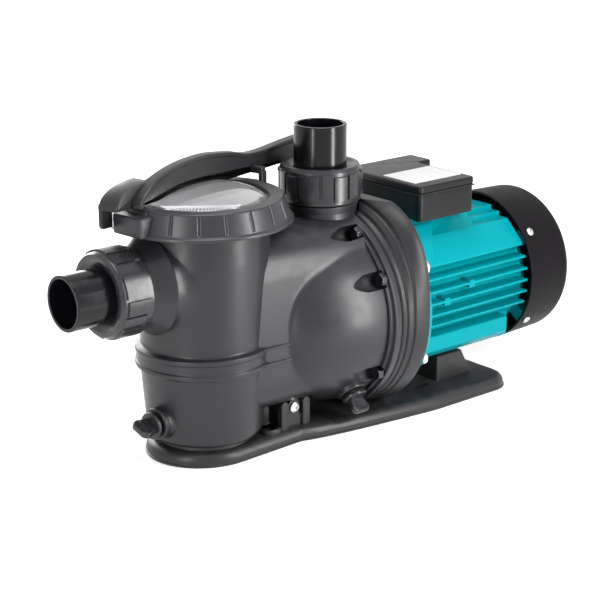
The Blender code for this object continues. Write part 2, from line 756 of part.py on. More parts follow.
def make_pump_body():
    body = make_pot_outside()
    on_shaft = (0.0, 0.0, SHAFT_HEIGHT)
    bridge = lofted(
        "bridge",
        [
            rounded_section(0.010, BRIDGE_POT_HALF, BRIDGE_BOTTOM, BRIDGE_TOP, BRIDGE_ROUND),
            rounded_section(
                FLANGE_FACE_X - FLANGE_THICKNESS / 2,
                BRIDGE_FLANGE_HALF,
                BRIDGE_BOTTOM,
                BRIDGE_TOP,
                BRIDGE_ROUND,
            ),
        ],
    )
    barrel = turned("barrel", barrel_profile(), None, FINE, on_shaft, ALONG_X)
    flange = disc(
        "flange",
        FLANGE_RADIUS,
        FLANGE_FACE_X - FLANGE_THICKNESS,
        FLANGE_FACE_X,
        None,
        FINE,
        on_shaft,
        ALONG_X,
    )
    rib = box(
        "band_rib",
        (0.0, -BRIDGE_POT_HALF - BAND_RIB_PROUD, BAND_LOW),
        (BARREL_NOSE_X + BAND_RIB_REACH, BRIDGE_POT_HALF + BAND_RIB_PROUD, BAND_HIGH),
    )
    boss_end = SUCTION_NUT_FACE - UNION_NUT_LENGTH - 0.001
    boss_profile = [
        (0.0, -spigot_end_x()),
        (UNION_THREAD_RADIUS, -spigot_end_x()),
        (UNION_THREAD_RADIUS, boss_end),
    ]
    boss_profile += [(BOSS_RADIUS - 0.004, boss_end), (BOSS_RADIUS, POT_UPPER_RADIUS - 0.010)]
    boss_profile += [(BOSS_RADIUS, 0.010), (0.0, 0.010)]
    boss = turned(
        "suction_boss", boss_profile, None, MEDIUM, (0.0, 0.0, SUCTION_HEIGHT), ALONG_MINUS_X
    )
    neck_top = DISCHARGE_NUT_TOP - UNION_NUT_LENGTH - 0.002
    neck_profile = [
        (0.0, spigot_end_z()),
        (UNION_THREAD_RADIUS, spigot_end_z()),
        (UNION_THREAD_RADIUS, neck_top),
    ]
    neck_profile += [(NECK_RADIUS + 0.002, neck_top), (NECK_RADIUS, NECK_LOW), (0.0, NECK_LOW)]
    neck = turned("discharge_neck", neck_profile, None, MEDIUM, (DISCHARGE_X, 0.0, 0.0))
    join(body, bridge, barrel, flange, rib, boss, neck)

    pocket_end = FLANGE_FACE_X - FLANGE_THICKNESS + SPOT_FACE
    pocket = [(0.0, FLANGE_FACE_X + 0.010), (BOLT_RADIUS + BOLT_PLAY, FLANGE_FACE_X + 0.010)]
    pocket += [(BOLT_RADIUS + BOLT_PLAY, pocket_end), (CASING_POCKET_RADIUS, pocket_end)]
    pocket += [(CASING_POCKET_RADIUS, pocket_end - CASING_POCKET_LENGTH + CASING_POCKET_RADIUS)]
    pocket += [(0.0, pocket_end - CASING_POCKET_LENGTH)]
    pockets = [
        turned(f"casing_pocket_{i}", pocket, None, SMALL, (0.0, y, SHAFT_HEIGHT + z), ALONG_X)
        for i, (y, z) in enumerate(casing_bolt_places())
    ]
    cut(body, together("casing_pockets", pockets))

    for word, (face, along), root in (
        ("strainer", strainer_plug_frame(), 0.020),
        ("volute", volute_plug_frame(), 0.016),
    ):
        spot = disc(
            word + "_plug_boss", PLUG_BOSS_RADIUS, -root, 0.0, None, COARSE, face, facing(along)
        )
        join(body, spot)

    for side, word in ((-1, "near"), (1, "far")):
        outer = side * (UPSTAND_Y + CLEARANCE)
        inner = side * (UPSTAND_Y - CLEARANCE - FOOT_DEPTH)
        eyelet_end = FRONT_SLOT_X + FRONT_SLOT_LENGTH / 2 + EYELET_WALL
        foot = box(
            "foot_" + word,
            (eyelet_end + SOLE_GAP, min(outer, inner), BASE_THICKNESS + CLEARANCE),
            (UPSTAND_X + UPSTAND_WIDTH / 2, max(outer, inner), BRIDGE_BOTTOM + BRIDGE_KEEL_ROUND),
        )
        join(body, foot)

    cavity = [
        (0.0, COLLAR_TOP + 0.010), (MOUTH_RADIUS, COLLAR_TOP + 0.010), (MOUTH_RADIUS, LEDGE_HEIGHT)
    ]
    cavity += [(POT_BORE, LEDGE_HEIGHT), (POT_BORE - 0.004, POT_FLOOR + POT_FLOOR_WALL + 0.004)]
    cavity += [(POT_BORE - 0.008, POT_FLOOR + POT_FLOOR_WALL), (0.0, POT_FLOOR + POT_FLOOR_WALL)]
    pot_cavity = turned("pot_cavity", cavity, None, MEDIUM)
    groove = ring(
        "lid_groove",
        LID_ORING_RADIUS - ORING_SECTION - CLEARANCE,
        LID_ORING_RADIUS + ORING_SECTION + CLEARANCE,
        COLLAR_TOP - 2 * ORING_SECTION - 2 * CLEARANCE,
        COLLAR_TOP + 0.010,
        steps=MEDIUM,
    )
    volute = [
        (0.0, FLANGE_FACE_X + 0.010),
        (VOLUTE_BORE, FLANGE_FACE_X + 0.010),
        (VOLUTE_BORE, IMPELLER_X + IMPELLER_WIDTH),
    ]
    volute += [
        (VOLUTE_BORE - 0.006, IMPELLER_X + 0.006),
        (VOLUTE_BORE - 0.021, VOLUTE_FRONT_X),
        (0.0, VOLUTE_FRONT_X),
    ]
    volute_cavity = turned("volute_cavity", volute, None, MEDIUM, on_shaft, ALONG_X)
    eye = disc(
        "suction_passage",
        VOLUTE_EYE_RADIUS,
        POT_BORE * 0.6,
        VOLUTE_FRONT_X + 0.010,
        None,
        COARSE,
        on_shaft,
        ALONG_X,
    )
    inlet = disc(
        "suction_bore",
        PORT_BORE,
        POT_BORE * 0.6,
        SUCTION_TAIL_FACE,
        None,
        COARSE,
        (0.0, 0.0, SUCTION_HEIGHT),
        ALONG_MINUS_X,
    )
    outlet = disc(
        "discharge_bore",
        PORT_BORE,
        NECK_LOW + NECK_FLOOR,
        DISCHARGE_TAIL_TOP,
        None,
        COARSE,
        (DISCHARGE_X, 0.0, 0.0),
    )
    throat = disc(
        "discharge_throat",
        THROAT_RADIUS,
        SHAFT_HEIGHT + VOLUTE_BORE * 0.5,
        NECK_LOW + 1.5 * NECK_FLOOR,
        None,
        COARSE,
        (DISCHARGE_X - THROAT_SETBACK, 0.0, 0.0),
    )
    cut(body, pot_cavity, groove, volute_cavity, eye, inlet, outlet, throat)
    for word, (face, along), depth in (
        ("strainer", strainer_plug_frame(), 0.030),
        ("volute", volute_plug_frame(), 0.030),
    ):
        bore = disc(
            word + "_plug_bore",
            PLUG_SHANK_RADIUS + CLEARANCE,
            -depth,
            0.010,
            None,
            COARSE,
            face,
            facing(along),
        )
        cut(body, bore)
    reliefs = []
    for side, word in ((-1, "near"), (1, "far")):
        span = UPSTAND_WIDTH / 2 + EAR_THICKNESS + SOLE_GAP
        walls = sorted((side * (UPSTAND_Y - CLEARANCE), side * (UPSTAND_Y + 0.020)))
        reliefs.append(
            box(
                "upstand_relief_" + word,
                (UPSTAND_X - span, walls[0], 0.0),
                (UPSTAND_X + span, walls[1], BASE_THICKNESS + UPSTAND_HEIGHT + SOLE_GAP),
            )
        )
    cut(body, together("upstand_reliefs", reliefs))
    screw_holes = [
        disc(
            f"foot_screw_hole_{side}",
            BASE_SCREW_RADIUS + BOLT_PLAY,
            -FOOT_DEPTH * 0.7,
            FOOT_DEPTH * 0.7,
            None,
            SMALL,
            (UPSTAND_X, side * UPSTAND_Y, base_screw_height()),
            UPRIGHT,
        )
        for side in (-1, 1)
    ]
    cut(body, together("foot_screw_holes", screw_holes))


def make_basket():
    """Tapered cup hung by its rim on the ledge in the pot's mouth, with two rows of slots."""
    rim_low = LEDGE_HEIGHT + CLEARANCE
    rim_high = rim_low + BASKET_RIM_THICKNESS
    foot = rim_low - BASKET_DEPTH
    inner_top = BASKET_TOP_RADIUS - BASKET_WALL
    inner_foot = BASKET_FOOT_RADIUS - BASKET_WALL
    profile = [
        (inner_top, rim_high), (MOUTH_RADIUS - 0.001, rim_high), (MOUTH_RADIUS - 0.001, rim_low)
    ]
    profile += [(BASKET_TOP_RADIUS, rim_low), (BASKET_FOOT_RADIUS, foot), (0.0, foot)]
    profile = [(0.0, foot + BASKET_WALL), (inner_foot, foot + BASKET_WALL)] + profile
    basket = turned("strainer_basket", profile, BASKET_GREY, MEDIUM)
    height = BASKET_DEPTH - 0.030
    slots = []
    low = foot + 0.012
    for i in range(BASKET_SLOTS):
        slots.append(
            box(
                f"basket_slot_{i}",
                (BASKET_FOOT_RADIUS - 0.008, -BASKET_SLOT_WIDTH / 2, low),
                (BASKET_TOP_RADIUS + 0.004, BASKET_SLOT_WIDTH / 2, low + height),
                rotation=(0.0, 0.0, 2 * math.pi * (i + 0.5) / BASKET_SLOTS),
            )
        )
    cut(basket, together("basket_slots", slots))


def make_lid():
    """Clear dome with a flange under the lock ring and a spigot in the pot's mouth."""
    top = LID_SEAT + LID_FLANGE
    spigot = MOUTH_RADIUS - 0.001
    dome = RING_WINDOW - 0.0012
    rise = LID_APEX - top
    outside = [
        (dome * math.sin(math.radians(t)), top + rise * math.cos(math.radians(t)))
        for t in (0, 25, 45, 65, 90)
    ]
    hollow = dome - LID_THICKNESS
    drop = rise - LID_THICKNESS
    inside = [
        (hollow * math.sin(math.radians(t)), top + drop * math.cos(math.radians(t)))
        for t in (65, 45, 25, 0)
    ]
    profile = outside + [
        (COLLAR_RADIUS - 0.0005, top), (COLLAR_RADIUS - 0.0005, LID_SEAT), (spigot, LID_SEAT)
    ]
    profile += [
        (spigot, LID_SEAT - LID_SPIGOT_DEPTH),
        (spigot - LID_SPIGOT_WALL, LID_SEAT - LID_SPIGOT_DEPTH),
    ]
    profile += [(spigot - LID_SPIGOT_WALL, LID_SEAT)]
    turned("lid", profile + inside, CLEAR, FINE)
    oring(
        "lid_oring",
        LID_ORING_RADIUS,
        ORING_SECTION,
        RUBBER,
        (0.0, 0.0, COLLAR_TOP - ORING_SECTION),
        LEVEL,
        MEDIUM,
    )


def lug_angles():
    """Where the wrench's line crosses the ring, in front and behind, in degrees round the pot."""
    skew = math.asin(WRENCH_OFFSET / LUG_RADIUS)
    return math.degrees(math.pi + WRENCH_ANGLE - skew), math.degrees(WRENCH_ANGLE + skew)


def make_lock_ring():
    thread = COLLAR_RADIUS + RING_THREAD_PLAY
    profile = [
        (RING_WINDOW, RING_TOP),
        (RING_TOP_RADIUS - 0.0015, RING_TOP),
        (RING_TOP_RADIUS, RING_TOP - 0.0015),
    ]
    profile += [
        (RING_SKIRT_RADIUS, RING_LOW + RING_LIP + 0.001), (RING_LIP_RADIUS, RING_LOW + RING_LIP)
    ]
    profile += [
        (RING_LIP_RADIUS, RING_LOW),
        (thread, RING_LOW),
        (thread, RING_PLATE_BOTTOM),
        (RING_WINDOW, RING_PLATE_BOTTOM),
    ]
    lock = turned("lock_ring", profile, BLACK, FINE)
    low = RING_LOW + RING_LIP / 2
    for word, turn, width in zip(("front", "rear"), lug_angles(), (LUG_WIDTH, REAR_LUG_WIDTH)):
        lug = box(
            word + "_lug",
            (RING_TOP_RADIUS - 0.0005, -width / 2, low),
            (LUG_RADIUS, width / 2, low + LUG_HEIGHT),
            rotation=(0.0, 0.0, math.radians(turn)),
        )
        join(lock, lug)


def wrench_line(points):
    """Side outline of the wrench: distance along it from the foot of the pot axis, height over the ring."""
    return [(along, WRENCH_FLOOR + height) for along, height in points]


def make_wrench():
    """Arched lever: a head over the front lug, a web over the dome and a lever past the discharge."""
    turn = (math.pi / 2, 0.0, WRENCH_ANGLE)
    across = Vector((-math.sin(WRENCH_ANGLE), math.cos(WRENCH_ANGLE), 0.0))
    start = across * WRENCH_OFFSET
    span = RING_WINDOW
    tip = WRENCH_HEAD_REACH
    head = -RING_LIP_RADIUS - tip
    high = WRENCH_SHOULDER
    dome = LID_APEX - RING_TOP + WRENCH_DOME_GAP
    crown = dome + WRENCH_CROWN
    climb = crown - high
    reach = WRENCH_REACH
    top = [(head + 0.1 * tip, 0.5 * high), (head + 0.36 * tip, 0.9 * high), (-1.37 * span, high)]
    top += [
        (-1.04 * span, 0.96 * high),
        (-0.73 * span, high + 0.25 * climb),
        (-0.42 * span, crown - 0.15 * climb),
    ]
    top += [(-0.05 * span, crown), (0.36 * span, crown), (0.81 * span, crown - 0.2 * climb)]
    top += [
        (1.24 * span, high), (1.63 * span, high), (reach - 0.2 * tip, high), (reach, 0.82 * high)
    ]
    bottom = [
        (reach, 0.2 * high),
        (reach - 0.3 * tip, 0.04 * high),
        (1.37 * span, 0.0),
        (1.14 * span, 0.1 * high),
    ]
    bottom += [
        (0.81 * span, dome),
        (-0.65 * span, dome),
        (-0.98 * span, 0.13 * high),
        (-1.16 * span, 0.03 * high),
    ]
    bottom += [(head + 0.1 * tip, 0.03 * high)]
    middle = start + across * (WRENCH_WEB / 2)
    web = prism("lid_wrench", wrench_line(top + bottom), WRENCH_WEB, BLACK, middle, turn)
    crest = [(along, height + WRENCH_FLANGE_PROUD) for along, height in top[2:-1]]
    band = crest + [(along, height - WRENCH_FLANGE) for along, height in reversed(crest)]
    edge = start + across * (WRENCH_FLANGE_WIDTH / 2)
    flange = prism("wrench_flange", wrench_line(band), WRENCH_FLANGE_WIDTH, None, edge, turn)
    half = LUG_WIDTH / 2 + WRENCH_HEAD_MARGIN
    side = start + across * half
    cap_line = [
        (head, 0.0), (-1.2 * span, 0.0), (-1.14 * span, 0.43 * high), (-1.2 * span, 0.85 * high)
    ]
    cap_line += [(-1.46 * span, 0.98 * high), (head + 0.32 * tip, 0.81 * high), (head, 0.43 * high)]
    cap = prism("wrench_head", wrench_line(cap_line), 2 * half, None, side, turn)
    low = LUG_HEIGHT * 0.9
    root = 0.13 * high
    prong_line = [
        (head, root), (head, -low), (head + 0.55 * tip, -1.06 * low), (-1.4 * span, -0.4 * low)
    ]
    prong = prism(
        "wrench_prong",
        wrench_line(prong_line + [(-1.4 * span, root)]),
        WRENCH_PRONG,
        None,
        side,
        turn,
    )
    jaw_edge = -REAR_LUG_WIDTH / 2 - WRENCH_JAW_PLAY
    jaw_near = RING_LIP_RADIUS + 2 * CLEARANCE
    jaw_far = jaw_near + 0.5 * tip
    place = start + Vector((0.0, 0.0, WRENCH_FLOOR))
    yaw = (0.0, 0.0, WRENCH_ANGLE)
    jaw_low = (jaw_near, jaw_edge - WRENCH_JAW, -0.7 * low)
    jaw = box("wrench_jaw", jaw_low, (jaw_far, jaw_edge, 0.25 * high), None, place, yaw)
    arm_low = (jaw_near + 0.05 * tip, jaw_edge - 0.8 * WRENCH_JAW, 0.1 * high)
    arm_high = (jaw_far - 0.05 * tip, 0.0, 0.43 * high)
    arm = box("wrench_jaw_arm", arm_low, arm_high, None, place, yaw)
    join(web, flange, cap, prong, jaw, arm)


def union_nut(name, location, rotation, finish):
    """Union nut along local +Z: thread at the low end, lip over the tailpiece flange, grip pads round it."""
    lip_low = UNION_ENGAGED + 2 * CLEARANCE + TAIL_FLANGE + CLEARANCE
    lip_high = UNION_NUT_LENGTH
    bore = UNION_THREAD_RADIUS + CLEARANCE
    hole = TAIL_RADIUS + CLEARANCE
    profile = [(hole, lip_high - 0.004), (TAIL_FLANGE_RADIUS - 0.002, lip_high - 0.001)]
    profile += [
        (TAIL_FLANGE_RADIUS, lip_high),
        (UNION_NUT_RADIUS - 0.002, lip_high),
        (UNION_NUT_RADIUS, lip_high - 0.003),
    ]
    profile += [(UNION_NUT_RADIUS, 0.0), (bore, 0.0), (bore, lip_low), (hole, lip_low)]
    nut = turned(name, profile, finish, FINE, location, rotation)
    bpy.context.view_layer.update()
    width = 2 * math.pi * UNION_NUT_RADIUS / UNION_PADS * 0.62
    pads = []
    for i in range(UNION_PADS):
        turn = Matrix.Rotation(2 * math.pi * (i + 0.5) / UNION_PADS, 4, "Z")
        pad = box(
            f"{name}_pad_{i}",
            (UNION_NUT_RADIUS - 0.003, -width / 2, UNION_NUT_LENGTH * 0.10),
            (UNION_NUT_RADIUS + UNION_PAD, width / 2, UNION_NUT_LENGTH * 0.86),
        )
        pad.matrix_world = nut.matrix_world @ turn
        pads.append(pad)
    join(nut, together(name + "_pads", pads))


def tailpiece(name, length, location, rotation):
    """Pipe end with a flange and an O-ring groove at its low end, along local +Z."""
    bore = TAIL_RADIUS - TAIL_WALL
    depth = 2 * ORING_SECTION + CLEARANCE
    inner = UNION_ORING_RADIUS - ORING_SECTION - CLEARANCE
    outer = UNION_ORING_RADIUS + ORING_SECTION + CLEARANCE
    profile = [
        (bore, length),
        (TAIL_RADIUS, length),
        (TAIL_RADIUS, TAIL_FLANGE),
        (TAIL_FLANGE_RADIUS, TAIL_FLANGE),
    ]
    profile += [
        (TAIL_FLANGE_RADIUS, 0.0),
        (outer, 0.0),
        (outer, depth),
        (inner, depth),
        (inner, 0.0),
        (bore, 0.0),
    ]
    turned(name, profile, BLACK, FINE, location, rotation)


def make_unions():
    """Both unions: the tailpiece flange meets the thread's end, the nut holds it there."""
    for word, seat, rotation, nut_low, tail_end in (
        (
            "suction",
            -spigot_end_x(),
            ALONG_MINUS_X,
            SUCTION_NUT_FACE - UNION_NUT_LENGTH,
            SUCTION_TAIL_FACE,
        ),
        (
            "discharge",
            spigot_end_z(),
            LEVEL,
            DISCHARGE_NUT_TOP - UNION_NUT_LENGTH,
            DISCHARGE_TAIL_TOP,
        ),
    ):
        def at(distance):
            if word == "suction":
                return (-distance, 0.0, SUCTION_HEIGHT)
            return (DISCHARGE_X, 0.0, distance)

        face = seat + 2 * CLEARANCE
        tailpiece(word + "_tailpiece", tail_end - face, at(face), rotation)
        oring(
            word + "_oring",
            UNION_ORING_RADIUS,
            ORING_SECTION,
            RUBBER,
            at(face + ORING_SECTION),
            rotation,
            FINE,
        )
        union_nut(word + "_union_nut", at(nut_low), rotation, BLACK)


def drain_plug(word, frame, finish):
    """Winged plug with an O-ring under its head; local +Z points out of the boss."""
    face, along = frame
    turn = facing(along)
    radius = PLUG_SHANK_RADIUS + CLEARANCE + 2 * PLUG_ORING_SECTION - 0.0008
    oring(
        word + "_drain_oring",
        radius,
        PLUG_ORING_SECTION,
        RUBBER,
        face + along * (CLEARANCE + PLUG_ORING_SECTION),
        turn,
        SMALL,
    )
    head = 2 * PLUG_ORING_SECTION + 2 * CLEARANCE
    profile = [
        (0.0, head + PLUG_HEAD),
        (PLUG_HEAD_RADIUS - 0.001, head + PLUG_HEAD),
        (PLUG_HEAD_RADIUS, head + PLUG_HEAD - 0.001),
    ]
    profile += [
        (PLUG_HEAD_RADIUS, head),
        (PLUG_SHANK_RADIUS, head),
        (PLUG_SHANK_RADIUS, -PLUG_SHANK + 0.001),
    ]
    profile += [(PLUG_SHANK_RADIUS - 0.001, -PLUG_SHANK), (0.0, -PLUG_SHANK)]
    plug = turned(word + "_drain_plug", profile, finish, COARSE, face, turn)
    wing = box(
        word + "_wing",
        (-PLUG_HEAD_RADIUS * 0.95, -PLUG_WING_THICKNESS / 2, head + PLUG_HEAD - 0.001),
        (PLUG_HEAD_RADIUS * 0.95, PLUG_WING_THICKNESS / 2, head + PLUG_HEAD + PLUG_WING),
        None,
        face,
        turn,
        0.0012,
    )
    join(plug, wing)


def bracket_section(x, radius, squared):
    """Outline of the bracket across the shaft: round, or with a flattened square crown above."""
    points = []
    for i in range(36):
        turn = 2 * math.pi * (i + 0.5) / 36
        c, s = math.cos(turn), math.sin(turn)
        y, z = radius * c, radius * s
        if s > 0:
            power = 2 + (BRACKET_SQUARENESS - 2) * squared
            scale = (abs(c) ** power + abs(s) ** power) ** (-1 / power)
            tall = radius + (BRACKET_CROWN + 0.005 - radius) * squared
            y, z = radius * c * scale, min(tall * s * scale, BRACKET_CROWN)
        points.append((x, y, SHAFT_HEIGHT + z))
    return points


def make_bracket():
    on_shaft = (0.0, 0.0, SHAFT_HEIGHT)
    rise = [0.0, 0.3, 0.7, 1.0]
    sections = []
    for t in rise:
        swell = t * t * (3 - 2 * t)
        radius = BRACKET_FRONT_RADIUS + (BRACKET_REAR_RADIUS - BRACKET_FRONT_RADIUS) * swell
        sections.append(bracket_section(BRACKET_FACE_X + t * BRACKET_LENGTH, radius, swell))
    bracket = lofted("motor_bracket", sections, CHARCOAL)
    groove = VOLUTE_BORE - 2 * ORING_SECTION
    middle = SPIGOT_X + SPIGOT_LENGTH / 2
    spigot_profile = [(0.0, SPIGOT_X), (VOLUTE_BORE - CLEARANCE, SPIGOT_X)]
    spigot_profile += [
        (VOLUTE_BORE - CLEARANCE, middle - ORING_SECTION),
        (groove - CLEARANCE, middle - ORING_SECTION),
    ]
    spigot_profile += [
        (groove - CLEARANCE, middle + ORING_SECTION),
        (VOLUTE_BORE - CLEARANCE, middle + ORING_SECTION),
    ]
    spigot_profile += [
        (VOLUTE_BORE - CLEARANCE, BRACKET_FACE_X + 0.004), (0.0, BRACKET_FACE_X + 0.004)
    ]
    join(bracket, turned("spigot", spigot_profile, None, MEDIUM, on_shaft, ALONG_X))
    section = ORING_SECTION - CLEARANCE
    oring(
        "casing_oring",
        VOLUTE_BORE - CLEARANCE - section,
        section,
        RUBBER,
        (middle, 0.0, SHAFT_HEIGHT),
        ALONG_X,
        MEDIUM,
    )
    recess = ring(
        "bracket_recess",
        BRACKET_HUB_RADIUS,
        BRACKET_RECESS_RADIUS,
        BRACKET_FACE_X + BRACKET_PLATE,
        BRACKET_REAR_X + 0.010,
        None,
        MEDIUM,
        on_shaft,
        ALONG_X,
    )
    bore_profile = [(0.0, SPIGOT_X - 0.010), (SEAL_SEAT_RADIUS + CLEARANCE, SPIGOT_X - 0.010)]
    bore_profile += [
        (SEAL_SEAT_RADIUS + CLEARANCE, SPIGOT_X + SEAL_SEAT_WIDTH * 0.6),
        (SHAFT_RADIUS + 0.002, SPIGOT_X + SEAL_SEAT_WIDTH * 0.6),
    ]
    bore_profile += [
        (SHAFT_RADIUS + 0.002, FRONT_BEARING_X - CLEARANCE - 0.008),
        (SLINGER_RADIUS + 0.001, FRONT_BEARING_X - CLEARANCE - 0.007),
    ]
    bore_profile += [
        (SLINGER_RADIUS - 0.002, FRONT_BEARING_X - CLEARANCE),
        (BEARING_RADIUS + CLEARANCE, FRONT_BEARING_X - CLEARANCE),
    ]
    bore_profile += [
        (BEARING_RADIUS + CLEARANCE, BRACKET_REAR_X + 0.010), (0.0, BRACKET_REAR_X + 0.010)
    ]
    cut(bracket, recess, turned("bracket_bore", bore_profile, None, COARSE, on_shaft, ALONG_X))
    notch = disc(
        "neck_notch", NECK_RADIUS + 0.003, NECK_LOW - CLEARANCE, DISCHARGE_NUT_TOP, None, MEDIUM, (
            DISCHARGE_X, 0.0, 0.0
        )
    )
    holes = [
        disc(
            f"casing_tap_{i}",
            BOLT_RADIUS + BOLT_PLAY,
            SPIGOT_X,
            casing_bolt_tip() + 0.001,
            None,
            SMALL,
            (0.0, y, SHAFT_HEIGHT + z),
            ALONG_X,
        )
        for i, (y, z) in enumerate(casing_bolt_places())
    ]
    holes += [
        disc(
            f"motor_tap_{i}",
            BOLT_RADIUS + BOLT_PLAY,
            motor_bolt_tip() - 0.001,
            MOTOR_FRONT_X + 0.010,
            None,
            SMALL,
            (0.0, y, SHAFT_HEIGHT + z),
            ALONG_X,
        )
        for i, (y, z) in enumerate(motor_bolt_places())
    ]
    cut(bracket, notch, together("bracket_holes", holes))


def casing_bolt_tip():
    return FLANGE_FACE_X - FLANGE_THICKNESS + SPOT_FACE - CLEARANCE + CASING_BOLT_GRIP


def motor_bolt_tip():
    return MOTOR_FRONT_X + MOTOR_FLANGE + CLEARANCE - MOTOR_BOLT_GRIP


def hex_bolt(
    name, grip, location, rotation, radius=BOLT_RADIUS, head_radius=BOLT_HEAD_RADIUS, head=BOLT_HEAD
):
    """Hexagon bolt: shank along local +Z from the face under its head, head on the -Z side."""
    bolt = disc(name, head_radius, -head, 0.0, STEEL, 6, location, rotation)
    shank = disc(name + "_shank", radius, -head / 2, grip, None, SMALL, location, rotation)
    return join(bolt, shank)


def make_bolts():
    face = FLANGE_FACE_X - FLANGE_THICKNESS + SPOT_FACE - CLEARANCE
    for i, (y, z) in enumerate(casing_bolt_places(), 1):
        hex_bolt(f"casing_bolt_{i}", CASING_BOLT_GRIP, (face, y, SHAFT_HEIGHT + z), ALONG_X)
    face = MOTOR_FRONT_X + MOTOR_FLANGE + CLEARANCE
    for i, (y, z) in enumerate(motor_bolt_places(), 1):
        hex_bolt(f"motor_bolt_{i}", MOTOR_BOLT_GRIP, (face, y, SHAFT_HEIGHT + z), ALONG_MINUS_X)
    for i, side in enumerate((-1, 1), 1):
        place = (UPSTAND_X, side * (UPSTAND_Y + UPSTAND_THICKNESS + CLEARANCE), base_screw_height())
        turn = (side * math.pi / 2, 0.0, 0.0)
        grip = UPSTAND_THICKNESS + FOOT_DEPTH * 0.6
        screw = disc(
            f"base_screw_{i}",
            BASE_SCREW_HEAD_RADIUS,
            -BASE_SCREW_HEAD,
            0.0,
            STEEL,
            COARSE,
            place,
            turn,
        )
        join(
            screw,
            disc(
                f"base_screw_{i}_shank",
                BASE_SCREW_RADIUS,
                -BASE_SCREW_HEAD / 2,
                grip,
                None,
                SMALL,
                place,
                turn,
            ),
        )


